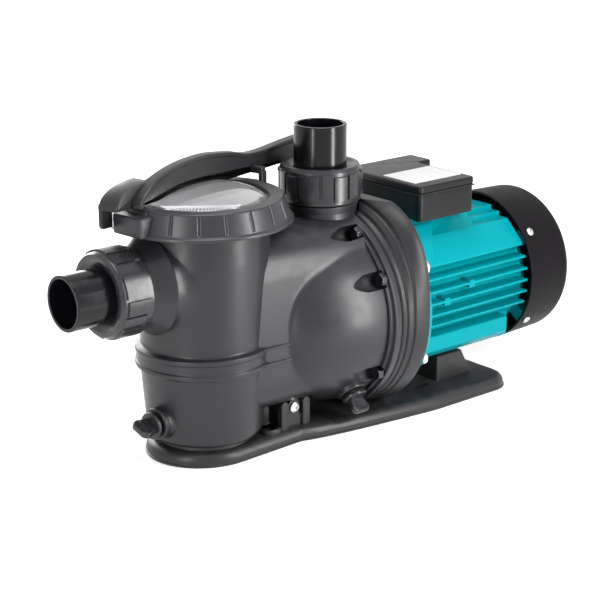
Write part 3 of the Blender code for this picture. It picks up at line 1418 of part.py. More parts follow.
def make_rotating_group():
    """Shaft with impeller, seal head, slinger, rotor and fan on it, along local +Z = +X."""
    on_shaft = (0.0, 0.0, SHAFT_HEIGHT)
    hub_end = IMPELLER_X + IMPELLER_WIDTH
    rotor_low = STACK_X - 0.010
    rotor_high = STACK_X + STACK_LENGTH + 0.010
    nose = IMPELLER_X + 0.008
    profile = [
        (0.0, SHAFT_REAR_X),
        (SHAFT_RADIUS - 0.001, SHAFT_REAR_X),
        (SHAFT_RADIUS - 0.001, rotor_high),
    ]
    profile += [
        (ROTOR_SEAT_RADIUS, rotor_high), (ROTOR_SEAT_RADIUS, rotor_low), (SHAFT_RADIUS, rotor_low)
    ]
    profile += [
        (SHAFT_RADIUS, hub_end + CLEARANCE),
        (SHAFT_RADIUS - 0.002, hub_end + CLEARANCE),
        (SHAFT_RADIUS - 0.002, nose),
        (0.0, nose),
    ]
    turned("shaft", profile, STEEL, COARSE, on_shaft, ALONG_X)

    hub = SHAFT_RADIUS + 0.004
    bore = SHAFT_RADIUS - 0.002 + CLEARANCE
    back = hub_end - IMPELLER_SHROUD
    profile = [
        (0.0, IMPELLER_X + 0.002),
        (hub * 0.6, IMPELLER_X + 0.004),
        (hub, IMPELLER_X + 0.010),
        (hub, back),
    ]
    profile += [(IMPELLER_RADIUS, back), (IMPELLER_RADIUS, hub_end), (bore, hub_end)]
    profile += [(bore, nose - CLEARANCE), (0.0, nose - CLEARANCE)]
    impeller = turned("impeller", profile, RESIN, MEDIUM, on_shaft, ALONG_X)
    front = IMPELLER_X + IMPELLER_SHROUD
    shroud_profile = [
        (VOLUTE_EYE_RADIUS - 0.002, IMPELLER_X - 0.004), (VOLUTE_EYE_RADIUS, IMPELLER_X - 0.004)
    ]
    shroud_profile += [
        (VOLUTE_EYE_RADIUS + 0.001, IMPELLER_X),
        (IMPELLER_RADIUS, front + 0.004),
        (IMPELLER_RADIUS, front + 0.004 + IMPELLER_SHROUD),
    ]
    shroud_profile += [(VOLUTE_EYE_RADIUS - 0.002, front)]
    vanes = []
    for i in range(IMPELLER_VANES):
        start = 360 * i / IMPELLER_VANES
        line = []
        for k in range(4):
            t = k / 3
            radius = hub * 0.9 + t * (IMPELLER_RADIUS - 0.001 - hub * 0.9)
            line.append((radius, start - 70 * t))
        pressure = [(r * math.cos(math.radians(a)), r * math.sin(math.radians(a))) for r, a in line]
        suction = [
            (
                r * math.cos(math.radians(a + 110 * 0.0022 / r * 0.55)),
                r * math.sin(math.radians(a + 110 * 0.0022 / r * 0.55)),
            )
            for r, a in reversed(line)
        ]
        vanes.append(
            prism(
                f"vane_{i}",
                pressure + suction,
                back - front + 0.002,
                None,
                (front - 0.001, 0.0, SHAFT_HEIGHT),
                ALONG_X,
            ),
        )
    join(
        impeller,
        turned("front_shroud", shroud_profile, None, MEDIUM, on_shaft, ALONG_X),
        together("vanes", vanes),
    )

    gap = CLEARANCE
    seal_low = hub_end + 2 * gap
    ring(
        "seal_head",
        SHAFT_RADIUS + gap,
        SEAL_HEAD_RADIUS,
        seal_low,
        seal_seat_x() - gap,
        RESIN,
        COARSE,
        on_shaft,
        ALONG_X,
    )
    slinger = FRONT_BEARING_X - gap - 0.006
    ring(
        "water_slinger",
        SHAFT_RADIUS + gap,
        SLINGER_RADIUS - 0.003,
        slinger,
        slinger + SLINGER_WIDTH,
        RUBBER,
        COARSE,
        on_shaft,
        ALONG_X,
    )
    rotor = [
        (ROTOR_SEAT_RADIUS + gap, STACK_X + STACK_LENGTH),
        (ROTOR_RADIUS, STACK_X + STACK_LENGTH),
        (ROTOR_RADIUS, STACK_X),
        (ROTOR_SEAT_RADIUS + gap, STACK_X),
    ]
    turned("rotor_core", rotor, IRON, MEDIUM, on_shaft, ALONG_X)

    fan_hub = SHAFT_RADIUS + 0.006
    profile = [
        (SHAFT_RADIUS - 0.001 + gap, FAN_X + FAN_WIDTH),
        (fan_hub, FAN_X + FAN_WIDTH),
        (fan_hub, FAN_X + 0.003),
    ]
    profile += [
        (FAN_RADIUS * 0.8, FAN_X + 0.003),
        (FAN_RADIUS * 0.8, FAN_X),
        (SHAFT_RADIUS - 0.001 + gap, FAN_X),
    ]
    fan = turned("cooling_fan", profile, BLACK, COARSE, on_shaft, ALONG_X)
    blades = []
    for i in range(FAN_BLADES):
        blade = box(
            f"fan_blade_{i}",
            (fan_hub - 0.002, -0.001, FAN_X + 0.001),
            (FAN_RADIUS, 0.001, FAN_X + FAN_WIDTH),
        )
        blade.matrix_world = Matrix.Translation(on_shaft) @ Matrix.Rotation(math.pi / 2, 4, "Y") @ Matrix.Rotation(
            2 * math.pi * (i + 0.25) / FAN_BLADES, 4, "Z"
        )
        blades.append(blade)
    join(fan, together("fan_blades", blades))


def seal_seat_x():
    return SPIGOT_X + SEAL_SEAT_WIDTH * 0.6 - CLEARANCE - SEAL_SEAT_WIDTH


def make_fixed_inside():
    """Diffuser, seal seat, bearings and the wound stator."""
    on_shaft = (0.0, 0.0, SHAFT_HEIGHT)
    gap = CLEARANCE
    low = VOLUTE_FRONT_X + gap
    inside = IMPELLER_RADIUS + 0.0025
    wall = 0.003
    profile = [
        (VOLUTE_EYE_RADIUS + 0.0005, low),
        (inside - 0.008, low),
        (inside + wall, IMPELLER_X + 0.004),
    ]
    profile += [
        (inside + wall, SPIGOT_X - gap), (inside, SPIGOT_X - gap), (inside, IMPELLER_X + 0.003)
    ]
    profile += [
        (VOLUTE_EYE_RADIUS + 0.006, IMPELLER_X - 0.006),
        (VOLUTE_EYE_RADIUS + 0.0005, IMPELLER_X - 0.006),
    ]
    diffuser = turned("diffuser", profile, RESIN, MEDIUM, on_shaft, ALONG_X)
    vanes = []
    windows = []
    for i in range(6):
        turn = Matrix.Translation(on_shaft) @ Matrix.Rotation(math.pi / 2, 4, "Y") @ Matrix.Rotation(
            2 * math.pi * (i + 0.5) / 6, 4, "Z"
        )
        vane = box(
            f"diffuser_vane_{i}",
            (inside + wall / 2, -0.001, IMPELLER_X + IMPELLER_WIDTH),
            (VOLUTE_BORE * math.cos(math.pi / MEDIUM) - gap, 0.001, SPIGOT_X - gap),
        )
        vane.matrix_world = turn
        vanes.append(vane)
        window = box(
            f"diffuser_window_{i}",
            (inside - 0.004, 0.006, IMPELLER_X + 0.008),
            (inside + 0.010, 0.026, IMPELLER_X + IMPELLER_WIDTH - 0.002),
        )
        window.matrix_world = turn
        windows.append(window)
    join(diffuser, together("diffuser_vanes", vanes))
    cut(diffuser, together("diffuser_windows", windows))

    ring(
        "seal_seat",
        SHAFT_RADIUS + 0.0015,
        SEAL_SEAT_RADIUS,
        seal_seat_x(),
        seal_seat_x() + SEAL_SEAT_WIDTH,
        CERAMIC,
        COARSE,
        on_shaft,
        ALONG_X,
    )
    ring(
        "front_bearing",
        SHAFT_RADIUS + gap,
        BEARING_RADIUS,
        FRONT_BEARING_X,
        FRONT_BEARING_X + BEARING_WIDTH,
        STEEL,
        COARSE,
        on_shaft,
        ALONG_X,
    )
    ring(
        "rear_bearing",
        SHAFT_RADIUS - 0.001 + gap,
        BEARING_RADIUS,
        REAR_BEARING_X,
        REAR_BEARING_X + BEARING_WIDTH,
        STEEL,
        COARSE,
        on_shaft,
        ALONG_X,
    )

    bore = ROTOR_RADIUS + AIR_GAP
    stator = ring(
        "stator_core",
        bore,
        MOTOR_BORE - gap,
        STACK_X,
        STACK_X + STACK_LENGTH,
        IRON,
        MEDIUM,
        on_shaft,
        ALONG_X,
    )
    middle = (bore + MOTOR_BORE) / 2
    half = 0.008
    low = STACK_X - COIL_OVERHANG
    high = STACK_X + STACK_LENGTH + COIL_OVERHANG
    windings = ring(
        "stator_windings",
        middle - half,
        middle + half,
        low,
        STACK_X - gap,
        COPPER,
        COARSE,
        on_shaft,
        ALONG_X,
    )
    join(
        windings,
        ring(
            "rear_coil",
            middle - half,
            middle + half,
            STACK_X + STACK_LENGTH + gap,
            high,
            None,
            COARSE,
            on_shaft,
            ALONG_X,
        ),
    )
    bars = []
    slots = []
    for i in range(COIL_BARS):
        turn = 2 * math.pi * (i + 0.5) / COIL_BARS
        place = (0.0, middle * math.cos(turn), SHAFT_HEIGHT + middle * math.sin(turn))
        bars.append(
            disc(
                f"coil_bar_{i}", COIL_BAR_RADIUS, low + 0.004, high - 0.004, None, 6, place, ALONG_X
            ),
        )
        slots.append(
            disc(f"stator_slot_{i}", COIL_BAR_RADIUS + gap, low, high, None, 6, place, ALONG_X)
        )
    join(windings, together("coil_bars", bars))
    cut(stator, together("stator_slots", slots))


def motor_outline():
    """Half outline of the housing on the near side, from its roof down to its keel, as (y, z)."""
    side = [(-MOTOR_WALL_HALF, MOTOR_ROOF), (-MOTOR_WALL_HALF, MOTOR_FIN_TOP + MOTOR_FIN_WIDTH)]
    half = MOTOR_FIN_WIDTH / 2
    for i in range(MOTOR_FINS):
        z = MOTOR_FIN_TOP - i * MOTOR_FIN_PITCH
        side += [
            (-MOTOR_FIN_ROOT, z + half),
            (-MOTOR_FIN_TIP, z + half * 0.8),
            (-MOTOR_FIN_TIP, z - half * 0.8),
            (-MOTOR_FIN_ROOT, z - half),
        ]
    side += [
        (-MOTOR_FIN_ROOT, -MOTOR_RAIL_TOP),
        (-MOTOR_RAIL_HALF, -MOTOR_RAIL_TOP - 0.002),
        (-MOTOR_RAIL_HALF, -MOTOR_RAIL_LOW),
    ]
    side += [(-MOTOR_KEEL_HALF, -MOTOR_KEEL)]
    return side


def make_motor():
    on_shaft = (0.0, 0.0, SHAFT_HEIGHT)
    side = motor_outline()
    outline = side + [(-y, z) for y, z in reversed(side)]
    start = MOTOR_FRONT_X + MOTOR_FLANGE - 0.002
    housing = prism(
        "motor_housing", outline, MOTOR_REAR_X - start, TEAL, (start, 0.0, SHAFT_HEIGHT), ACROSS_X
    )
    flange = disc(
        "motor_flange",
        MOTOR_FLANGE_RADIUS,
        MOTOR_FRONT_X,
        MOTOR_FRONT_X + MOTOR_FLANGE,
        None,
        FINE,
        on_shaft,
        ALONG_X,
    )
    steps = [(PEDESTAL_START, 0.040), (PEDESTAL_START, PEDESTAL_HEIGHT)]
    for i, (x, z) in enumerate(PEDESTAL_STEPS):
        steps.append((x, z))
        follow = PEDESTAL_STEPS[i + 1][1] if i + 1 < len(PEDESTAL_STEPS) else 0.040
        steps.append((x if i + 1 < len(PEDESTAL_STEPS) else MOTOR_LENGTH - 0.002, follow))
    width = 2 * MOTOR_WALL_HALF - 0.0004
    pedestal = prism(
        "pedestal", steps, width, None, (MOTOR_FRONT_X, width / 2, SHAFT_HEIGHT), UPRIGHT
    )
    bore = disc(
        "motor_bore",
        MOTOR_BORE,
        MOTOR_FRONT_X - 0.010,
        MOTOR_REAR_X + 0.010,
        None,
        MEDIUM,
        on_shaft,
        ALONG_X,
    )
    holes = [
        disc(
            f"motor_flange_hole_{i}",
            BOLT_RADIUS + BOLT_PLAY,
            MOTOR_FRONT_X - 0.010,
            MOTOR_FRONT_X + MOTOR_FLANGE + 0.010,
            None,
            SMALL,
            (0.0, y, SHAFT_HEIGHT + z),
            ALONG_X,
        )
        for i, (y, z) in enumerate(motor_bolt_places())
    ]
    join(housing, flange, pedestal)
    cut(housing, bore, together("motor_flange_holes", holes))

    box(
        "motor_pad",
        (CRADLE_X + 0.003, -MOTOR_KEEL_HALF * 0.7, PAD_BOTTOM),
        (CRADLE_X + CRADLE_LENGTH - 0.003, MOTOR_KEEL_HALF * 0.7, PAD_BOTTOM + PAD_THICKNESS),
        RUBBER,
    )


def fan_screw_frames():
    """Foot point on the shaft axis and outward direction of the four fan cover screws."""
    frames = []
    for turn in both_sides((FAN_SCREW_ANGLE, -FAN_SCREW_ANGLE)):
        y, z = polar(1.0, turn)
        frames.append((Vector((FAN_SCREW_X, 0.0, SHAFT_HEIGHT)), Vector((0.0, y, z))))
    return frames


def make_rear():
    """Rear end shield with its four lugs, the fan cover with its grille, and the cover's screws."""
    on_shaft = (0.0, 0.0, SHAFT_HEIGHT)
    bearing = BEARING_RADIUS + CLEARANCE
    hub_rear = REAR_BEARING_X + BEARING_WIDTH + CLEARANCE + 0.003
    profile = [
        (SHAFT_RADIUS + 0.001, hub_rear),
        (bearing + 0.006, hub_rear),
        (bearing + 0.006, SHIELD_REAR_X),
    ]
    profile += [(SHIELD_RADIUS, SHIELD_REAR_X), (SHIELD_RADIUS, SHIELD_X), (bearing, SHIELD_X)]
    profile += [(bearing, hub_rear - 0.003), (SHAFT_RADIUS + 0.001, hub_rear - 0.003)]
    shield = turned("rear_end_shield", profile, TEAL, MEDIUM, on_shaft, ALONG_X)
    inner = FAN_COVER_RADIUS - FAN_COVER_WALL
    lugs = []
    holes = []
    cover_holes = []
    for i, (foot, along) in enumerate(fan_screw_frames()):
        turn = facing(along)
        frame = Matrix.Translation(foot) @ turn.to_matrix().to_4x4()
        side = (frame.inverted().to_3x3() @ Vector((1.0, 0.0, 0.0)))
        along_x = "x" if abs(side.x) > abs(side.y) else "y"
        sign = side.x if along_x == "x" else side.y
        back = SHIELD_REAR_X - 0.002 - FAN_SCREW_X
        fore = SHIELD_REAR_X + SHIELD_LUG - FAN_SCREW_X
        spans = sorted((back * sign, fore * sign))
        crest = inner * math.cos(math.pi / FINE) - 3 * CLEARANCE
        low = (spans[0], -0.007, inner - 0.014) if along_x == "x" else (
            -0.007, spans[0], inner - 0.014
        )
        high = (spans[1], 0.007, crest) if along_x == "x" else (0.007, spans[1], crest)
        lugs.append(box(f"shield_lug_{i}", low, high, None, foot, turn))
        holes.append(
            disc(
                f"lug_hole_{i}",
                FAN_SCREW_RADIUS + BOLT_PLAY,
                inner - 0.013,
                FAN_COVER_RADIUS + 0.010,
                None,
                8,
                foot,
                turn,
            ),
        )
        cover_holes.append(
            disc(
                f"cover_hole_{i}",
                FAN_SCREW_RADIUS + BOLT_PLAY,
                inner - 0.006,
                FAN_COVER_RADIUS + 0.010,
                None,
                8,
                foot,
                turn,
            ),
        )
        seat = foot + along * (FAN_COVER_RADIUS + CLEARANCE)
        screw = disc(
            f"fan_cover_screw_{i + 1}",
            FAN_SCREW_HEAD_RADIUS,
            0.0,
            FAN_SCREW_HEAD,
            STEEL,
            SMALL,
            seat,
            turn,
        )
        join(
            screw,
            disc(
                f"fan_cover_screw_{i + 1}_shank",
                FAN_SCREW_RADIUS,
                -0.011,
                FAN_SCREW_HEAD / 2,
                None,
                8,
                seat,
                turn,
            ),
        )
    join(shield, together("shield_lugs", lugs))
    cut(shield, together("lug_holes", holes))

    rear = FAN_COVER_REAR_X
    size = FAN_COVER_ROUND
    outer_edge = arc((FAN_COVER_RADIUS - 0.002 - size, rear - size), size, 90, 0, 2)
    inner_edge = arc(
        (FAN_COVER_RADIUS - 0.002 - size, rear - size), size - FAN_COVER_WALL, 0, 90, 2
    )
    profile = [(0.0, rear)] + outer_edge + [
        (FAN_COVER_RADIUS, FAN_COVER_X), (inner, FAN_COVER_X)
    ] + inner_edge
    profile += [(0.0, rear - FAN_COVER_WALL)]
    cover = turned("fan_cover", profile, BLACK, FINE, on_shaft, ALONG_X)
    slots = []
    for i in range(7):
        z = (i - 3) * 0.0155
        half = math.sqrt(max((inner - size - 0.004) ** 2 - z * z, 0.0001))
        slots.append(
            box(
                f"grille_slot_{i}",
                (rear - 0.010, -half, SHAFT_HEIGHT + z - 0.004),
                (rear + 0.010, half, SHAFT_HEIGHT + z + 0.004),
            ),
        )
    cut(cover, together("grille_slots", slots), together("cover_holes", cover_holes))


def box_outline(inset):
    """L-shaped plan of the terminal box, drawn in by an inset, as (x, y)."""
    front = BOX_FRONT_X + inset
    rear = BOX_FRONT_X + BOX_LENGTH - inset
    wing = BOX_FRONT_X + BOX_LENGTH + BOX_WING - inset
    return [
        (front, -BOX_NEAR_HALF + inset),
        (rear, -BOX_NEAR_HALF + inset),
        (rear, BOX_STEP_Y + inset),
        (wing, BOX_STEP_Y + inset),
        (wing, BOX_FAR_HALF - inset),
        (front, BOX_FAR_HALF - inset),
    ]


def make_terminal_box():
    tray = prism("terminal_box", box_outline(0.0), BOX_HEIGHT, BLACK, (0.0, 0.0, BOX_BOTTOM))
    cut(
        tray,
        prism(
            "box_cavity", box_outline(BOX_WALL), BOX_HEIGHT, None, (0.0, 0.0, BOX_BOTTOM + BOX_WALL)
        ),
    )
    gasket = prism(
        "terminal_box_gasket", box_outline(0.0), GASKET, RUBBER, (0.0, 0.0, GASKET_BOTTOM)
    )
    cut(
        gasket,
        prism(
            "gasket_opening", box_outline(BOX_WALL), 0.010, None, (0.0, 0.0, GASKET_BOTTOM - 0.005)
        ),
    )
    prism_low = [(x, y, LID_BOTTOM) for x, y in box_outline(0.0)]
    prism_mid = [(x, y, LID_BOTTOM + BOX_LID - BOX_LID_ROUND) for x, y in box_outline(0.0)]
    prism_top = [(x, y, LID_BOTTOM + BOX_LID) for x, y in box_outline(BOX_LID_ROUND)]
    lofted("terminal_box_lid", [prism_low, prism_mid, prism_top], BLACK)

    floor = BOX_BOTTOM + BOX_WALL + CLEARANCE
    front = BOX_FRONT_X + BLOCK_SETBACK
    top = floor + BLOCK_HEIGHT
    span = STUDS * STUD_PITCH / 2
    block = box("terminal_block", (front, -span, floor), (front + BLOCK_DEPTH, span, top), RESIN)
    studs = [
        disc(
            f"stud_{i}",
            STUD_RADIUS,
            floor + BLOCK_HEIGHT / 2,
            top + STUD_PROUD,
            None,
            SMALL,
            (front + BLOCK_DEPTH / 2, (i - (STUDS - 1) / 2) * STUD_PITCH, 0.0),
        )
        for i in range(STUDS)
    ]
    join(block, together("studs", studs))
    depth = BOX_FAR_HALF - BOX_WALL - CLEARANCE - CAPACITOR_RADIUS
    start = BOX_FRONT_X + BOX_LENGTH + BOX_WING - BOX_WALL - CAPACITOR_END_GAP - CAPACITOR_LENGTH
    disc(
        "capacitor",
        CAPACITOR_RADIUS,
        0.0,
        CAPACITOR_LENGTH,
        RESIN,
        COARSE,
        (start, depth, floor + CAPACITOR_RADIUS),
        ALONG_X,
    )

    place = (BOX_FRONT_X + 0.014, BOX_FAR_HALF + CLEARANCE, BOX_BOTTOM + BOX_HEIGHT / 2)
    turn = (-math.pi / 2, 0.0, 0.0)
    bore = GLAND_RADIUS * 0.45
    thread = GLAND_RADIUS * 0.68
    profile = [
        (bore, GLAND_LENGTH),
        (GLAND_RADIUS * 0.7, GLAND_LENGTH),
        (GLAND_RADIUS * 0.92, GLAND_LENGTH - 0.004),
    ]
    profile += [
        (GLAND_RADIUS * 0.92, 0.006), (GLAND_RADIUS, 0.006), (GLAND_RADIUS, 0.0), (thread, 0.0)
    ]
    profile += [(thread, -BOX_WALL - 0.004), (bore, -BOX_WALL - 0.004)]
    turned("cable_gland", profile, BLACK, COARSE, place, turn)
    cut(
        tray,
        disc("gland_hole", thread + CLEARANCE, -BOX_WALL - 0.006, 0.006, None, COARSE, place, turn),
    )


make_base()
make_pump_body()
make_basket()
make_lid()
make_lock_ring()
make_wrench()
make_unions()
drain_plug("strainer", strainer_plug_frame(), BLACK)
drain_plug("volute", volute_plug_frame(), BLACK)
make_bracket()
make_bolts()
make_rotating_group()
make_fixed_inside()
make_motor()
make_rear()
make_terminal_box()
sole_low = (BARREL_NOSE_X, -2 * BASE_HALF_WIDTH, -BASE_THICKNESS)
sole = box("sole", sole_low, (BOX_FRONT_X, 2 * BASE_HALF_WIDTH, BASE_THICKNESS + SOLE_GAP))
for name in ("pump_body", "motor_bracket", "motor_housing"):
    cut(PUMP.objects[name], sole)
for name in ("pump_body", "lid_wrench"):
    for step in PUMP.objects[name].modifiers:
        if step.type == "BOOLEAN":
            step.solver = "MANIFOLD"
for piece in PUMP.objects:
    if any(step.type == "BOOLEAN" for step in piece.modifiers):
        settle(piece)
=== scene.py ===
"""Looks of the pool pump: fine moulded surfaces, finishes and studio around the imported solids."""

import json

import bmesh
import bpy
import numpy as np
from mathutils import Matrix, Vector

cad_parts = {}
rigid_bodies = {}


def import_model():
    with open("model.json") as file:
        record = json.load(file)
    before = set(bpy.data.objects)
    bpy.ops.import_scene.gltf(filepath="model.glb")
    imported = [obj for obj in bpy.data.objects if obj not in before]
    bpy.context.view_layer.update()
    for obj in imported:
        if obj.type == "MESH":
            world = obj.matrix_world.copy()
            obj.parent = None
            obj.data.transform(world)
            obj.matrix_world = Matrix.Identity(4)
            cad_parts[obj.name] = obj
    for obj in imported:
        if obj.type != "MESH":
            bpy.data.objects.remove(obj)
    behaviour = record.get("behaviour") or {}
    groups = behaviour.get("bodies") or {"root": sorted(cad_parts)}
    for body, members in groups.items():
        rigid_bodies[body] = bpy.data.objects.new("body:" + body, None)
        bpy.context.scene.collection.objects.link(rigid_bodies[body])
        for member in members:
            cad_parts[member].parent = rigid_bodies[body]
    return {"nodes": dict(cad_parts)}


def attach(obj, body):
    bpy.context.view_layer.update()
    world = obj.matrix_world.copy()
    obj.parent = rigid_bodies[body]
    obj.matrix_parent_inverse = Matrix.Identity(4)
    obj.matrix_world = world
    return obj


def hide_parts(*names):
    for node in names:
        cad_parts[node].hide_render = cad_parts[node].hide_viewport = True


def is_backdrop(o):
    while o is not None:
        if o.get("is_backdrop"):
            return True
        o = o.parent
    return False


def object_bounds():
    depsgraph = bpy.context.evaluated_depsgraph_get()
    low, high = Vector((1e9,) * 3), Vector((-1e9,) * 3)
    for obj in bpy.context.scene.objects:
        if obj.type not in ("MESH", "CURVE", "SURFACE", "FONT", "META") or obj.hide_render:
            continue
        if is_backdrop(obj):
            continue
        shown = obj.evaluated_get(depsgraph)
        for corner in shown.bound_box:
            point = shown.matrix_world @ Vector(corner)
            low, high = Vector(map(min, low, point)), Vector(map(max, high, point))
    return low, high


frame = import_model()
scene = bpy.context.scene
for old in [o for o in bpy.data.objects if o.name in ("Cube", "Light", "Camera")]:
    bpy.data.objects.remove(old, do_unlink=True)
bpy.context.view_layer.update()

# Base plate: one black moulding with an oval end under the pot, a waist and a wide tail under the motor.
# A rolled edge runs round it over a thin lip; two clevises, two eyelets and the motor's cradle stand on it.


def node(tree, kind, inputs=(), **settings):
    """One shader node; inputs are (socket, value or other node's output) pairs."""
    made = tree.nodes.new("ShaderNode" + kind)
    for key, value in settings.items():
        setattr(made, key, value)
    for socket, value in inputs:
        if isinstance(value, bpy.types.NodeSocket):
            tree.links.new(value, made.inputs[socket])
        else:
            made.inputs[socket].default_value = value
    return made


def math(tree, operation, *values):
    """Output of a Math node on numbers or other outputs."""
    return node(tree, "Math", enumerate(values), operation=operation).outputs[0]


def noise(tree, spot, scale, detail):
    """Noise from 0 to 1 at a spot."""
    return node(tree, "TexNoise", [("Vector", spot), ("Scale", scale), ("Detail", detail)]).outputs["Fac"]


def ranged(tree, value, start, end, low=0.0, high=1.0):
    """A value carried from the range start to end over to the range low to high."""
    ends = [("From Min", start), ("From Max", end), ("To Min", low), ("To Max", high)]
    return node(tree, "MapRange", [("Value", value), *ends]).outputs["Result"]


def new_group(name, given, result):
    """Shader node group with those sockets and their kinds; also its own inputs and outputs."""
    group = bpy.data.node_groups.new(name, "ShaderNodeTree")
    for way, sockets in (("INPUT", given), ("OUTPUT", result)):
        for socket, kind in sockets.items():
            group.interface.new_socket(socket, in_out=way, socket_type="NodeSocket" + kind)
    return group, group.nodes.new("NodeGroupInput").outputs, group.nodes.new("NodeGroupOutput").inputs


def moulded_skin_group():
    """Mould texture: colour that wanders a little, dust on upper faces, uneven gloss, fine grain."""
    given = {"Colour": "Color", "Wander": "Float", "Dust": "Float", "Roughness": "Float", "Grain": "Float"}
    result = {"Colour": "Color", "Roughness": "Float", "Normal": "Vector"}
    group, given, result = new_group("moulded_skin", given, result)
    spot = node(group, "TexCoord").outputs["Object"]
    cloud = noise(group, spot, 95.0, 3.0)
    swing = math(group, "SUBTRACT", noise(group, spot, 17.0, 4.0), 0.5)
    shade = math(group, "MULTIPLY_ADD", swing, given["Wander"], 1.0)
    toned = node(group, "HueSaturation", [("Color", given["Colour"]), ("Value", shade)]).outputs["Color"]
    up = node(group, "SeparateXYZ", [("Vector", node(group, "NewGeometry").outputs["Normal"])]).outputs["Z"]
    settled = math(group, "MULTIPLY", ranged(group, up, 0.55, 1.0), ranged(group, cloud, 0.35, 0.75))
    dust = math(group, "MULTIPLY", settled, given["Dust"])
    dusty = node(group, "MixRGB", [("Fac", dust), ("Color1", toned), ("Color2", (0.36, 0.36, 0.37, 1))])
    group.links.new(dusty.outputs["Color"], result["Colour"])
    uneven = math(group, "SUBTRACT", cloud, 0.5)
    gloss = math(group, "MULTIPLY_ADD", uneven, 0.22, given["Roughness"])
    group.links.new(math(group, "MULTIPLY_ADD", dust, 0.35, gloss), result["Roughness"])
    relief = math(group, "MULTIPLY_ADD", cloud, 0.35, noise(group, spot, 1400.0, 2.0))
    bump = node(group, "Bump", [("Strength", given["Grain"]), ("Distance", 0.0004), ("Height", relief)])
    group.links.new(bump.outputs["Normal"], result["Normal"])
    return group


moulded_skin = moulded_skin_group()


def material(name, values):
    """A new material with those values on its shader, its node tree and the shader's inputs."""
    made = bpy.data.materials.new(name)
    made.use_nodes = True
    inputs = made.node_tree.nodes["Principled BSDF"].inputs
    for socket, value in values.items():
        inputs[socket].default_value = value
    return made, made.node_tree, inputs


def grouped(name, group, given, values):
    """A new material whose shader takes the outputs of a node group and plain values elsewhere."""
    made, tree, inputs = material(name, values)
    for output in node(tree, "Group", given.items(), node_tree=group).outputs:
        tree.links.new(output, inputs["Base Color" if output.name == "Colour" else output.name])
    return made


def moulded(name, colour, roughness, wander, dust, grain, specular):
    """A moulded or painted finish that takes its colour, gloss and grain from the mould texture."""
    given = {"Colour": (*colour, 1), "Wander": wander, "Dust": dust, "Roughness": roughness, "Grain": grain}
    return grouped(name, moulded_skin, given, {"Specular IOR Level": specular})


def rounded(corners, closed=True, steps=6):
    """Line through (a, b, radius) corners, each one replaced by an arc that touches both its sides."""
    spots = np.array([corner[:2] for corner in corners], float)
    line = []
    for i, corner in enumerate(corners):
        radius = corner[2] if len(corner) > 2 else 0.0
        if radius == 0 or (not closed and i in (0, len(corners) - 1)):
            line.append(spots[i : i + 1])
            continue
        back = spots[i - 1] - spots[i]
        ahead = spots[(i + 1) % len(corners)] - spots[i]
        back = back / np.linalg.norm(back)
        ahead = ahead / np.linalg.norm(ahead)
        half = 0.5 * np.arccos(np.clip(back @ ahead, -1, 1))
        middle = spots[i] + (back + ahead) / np.linalg.norm(back + ahead) * radius / np.sin(half)
        start = spots[i] + back * radius / np.tan(half) - middle
        end = spots[i] + ahead * radius / np.tan(half) - middle
        share = np.linspace(0, 1, steps + 1)[:, None]
        chord = start * (1 - share) + end * share
        line.append(middle + radius * chord / np.linalg.norm(chord, axis=1, keepdims=True))
    return np.concatenate(line)


def axes_along(direction):
    """Three unit axes as columns, the third one along a direction."""
    ahead = np.asarray(direction, float) / np.linalg.norm(direction)
    guide = (0, 0, 1) if abs(ahead[2]) < 0.9 else (0, 1, 0)
    side = np.cross(guide, ahead)
    side = side / np.linalg.norm(side)
    return np.stack([side, np.cross(ahead, side), ahead], axis=1)


def placed(points, at=(0, 0, 0), direction=(0, 0, 1)):
    """Local points carried to a place, with local z along a direction."""
    return np.asarray(at, float) + points @ axes_along(direction).T


def shell(grid, wrap=False):
    """Closed skin of a grid of points: columns run round, rows wrap too or end in two flat caps."""
    rows, columns = grid.shape[:2]
    i, j = np.meshgrid(np.arange(rows if wrap else rows - 1), np.arange(columns), indexing="ij")
    k, n = (i + 1) % rows, (j + 1) % columns
    quads = np.stack([i * columns + j, i * columns + n, k * columns + n, k * columns + j], axis=-1)
    polygons = quads.reshape(-1, 4).tolist()
    if not wrap:
        first = np.arange(columns)
        polygons += [first[::-1].tolist(), (first + (rows - 1) * columns).tolist()]
    return grid.reshape(-1, 3), polygons


def round_turn(steps):
    """Angles of one turn in even steps."""
    return np.linspace(0, 2 * np.pi, steps, endpoint=False)


def swept(radius, height, turn):
    """Points at a radius and a height for each angle round an axis."""
    return np.stack([radius * np.cos(turn), radius * np.sin(turn), height + 0 * turn], axis=-1)


def turned(profile, steps=128, at=(0, 0, 0), direction=(0, 0, 1), bend=6):
    """Surface of revolution: every (radius, height) of the rounded profile carried round an axis."""
    loop = profile[0][0] > 0
    profile = rounded(profile, loop, bend)
    grid = swept(profile[:, :1], profile[:, 1:], round_turn(steps))
    return shell(placed(grid, at, direction), wrap=loop)


def rod(radius, low, high, steps=24, at=(0, 0, 0), direction=(0, 0, 1)):
    """Plain round rod between two heights along an axis."""
    return turned(oblong(0, low, radius, high), steps, at, direction)


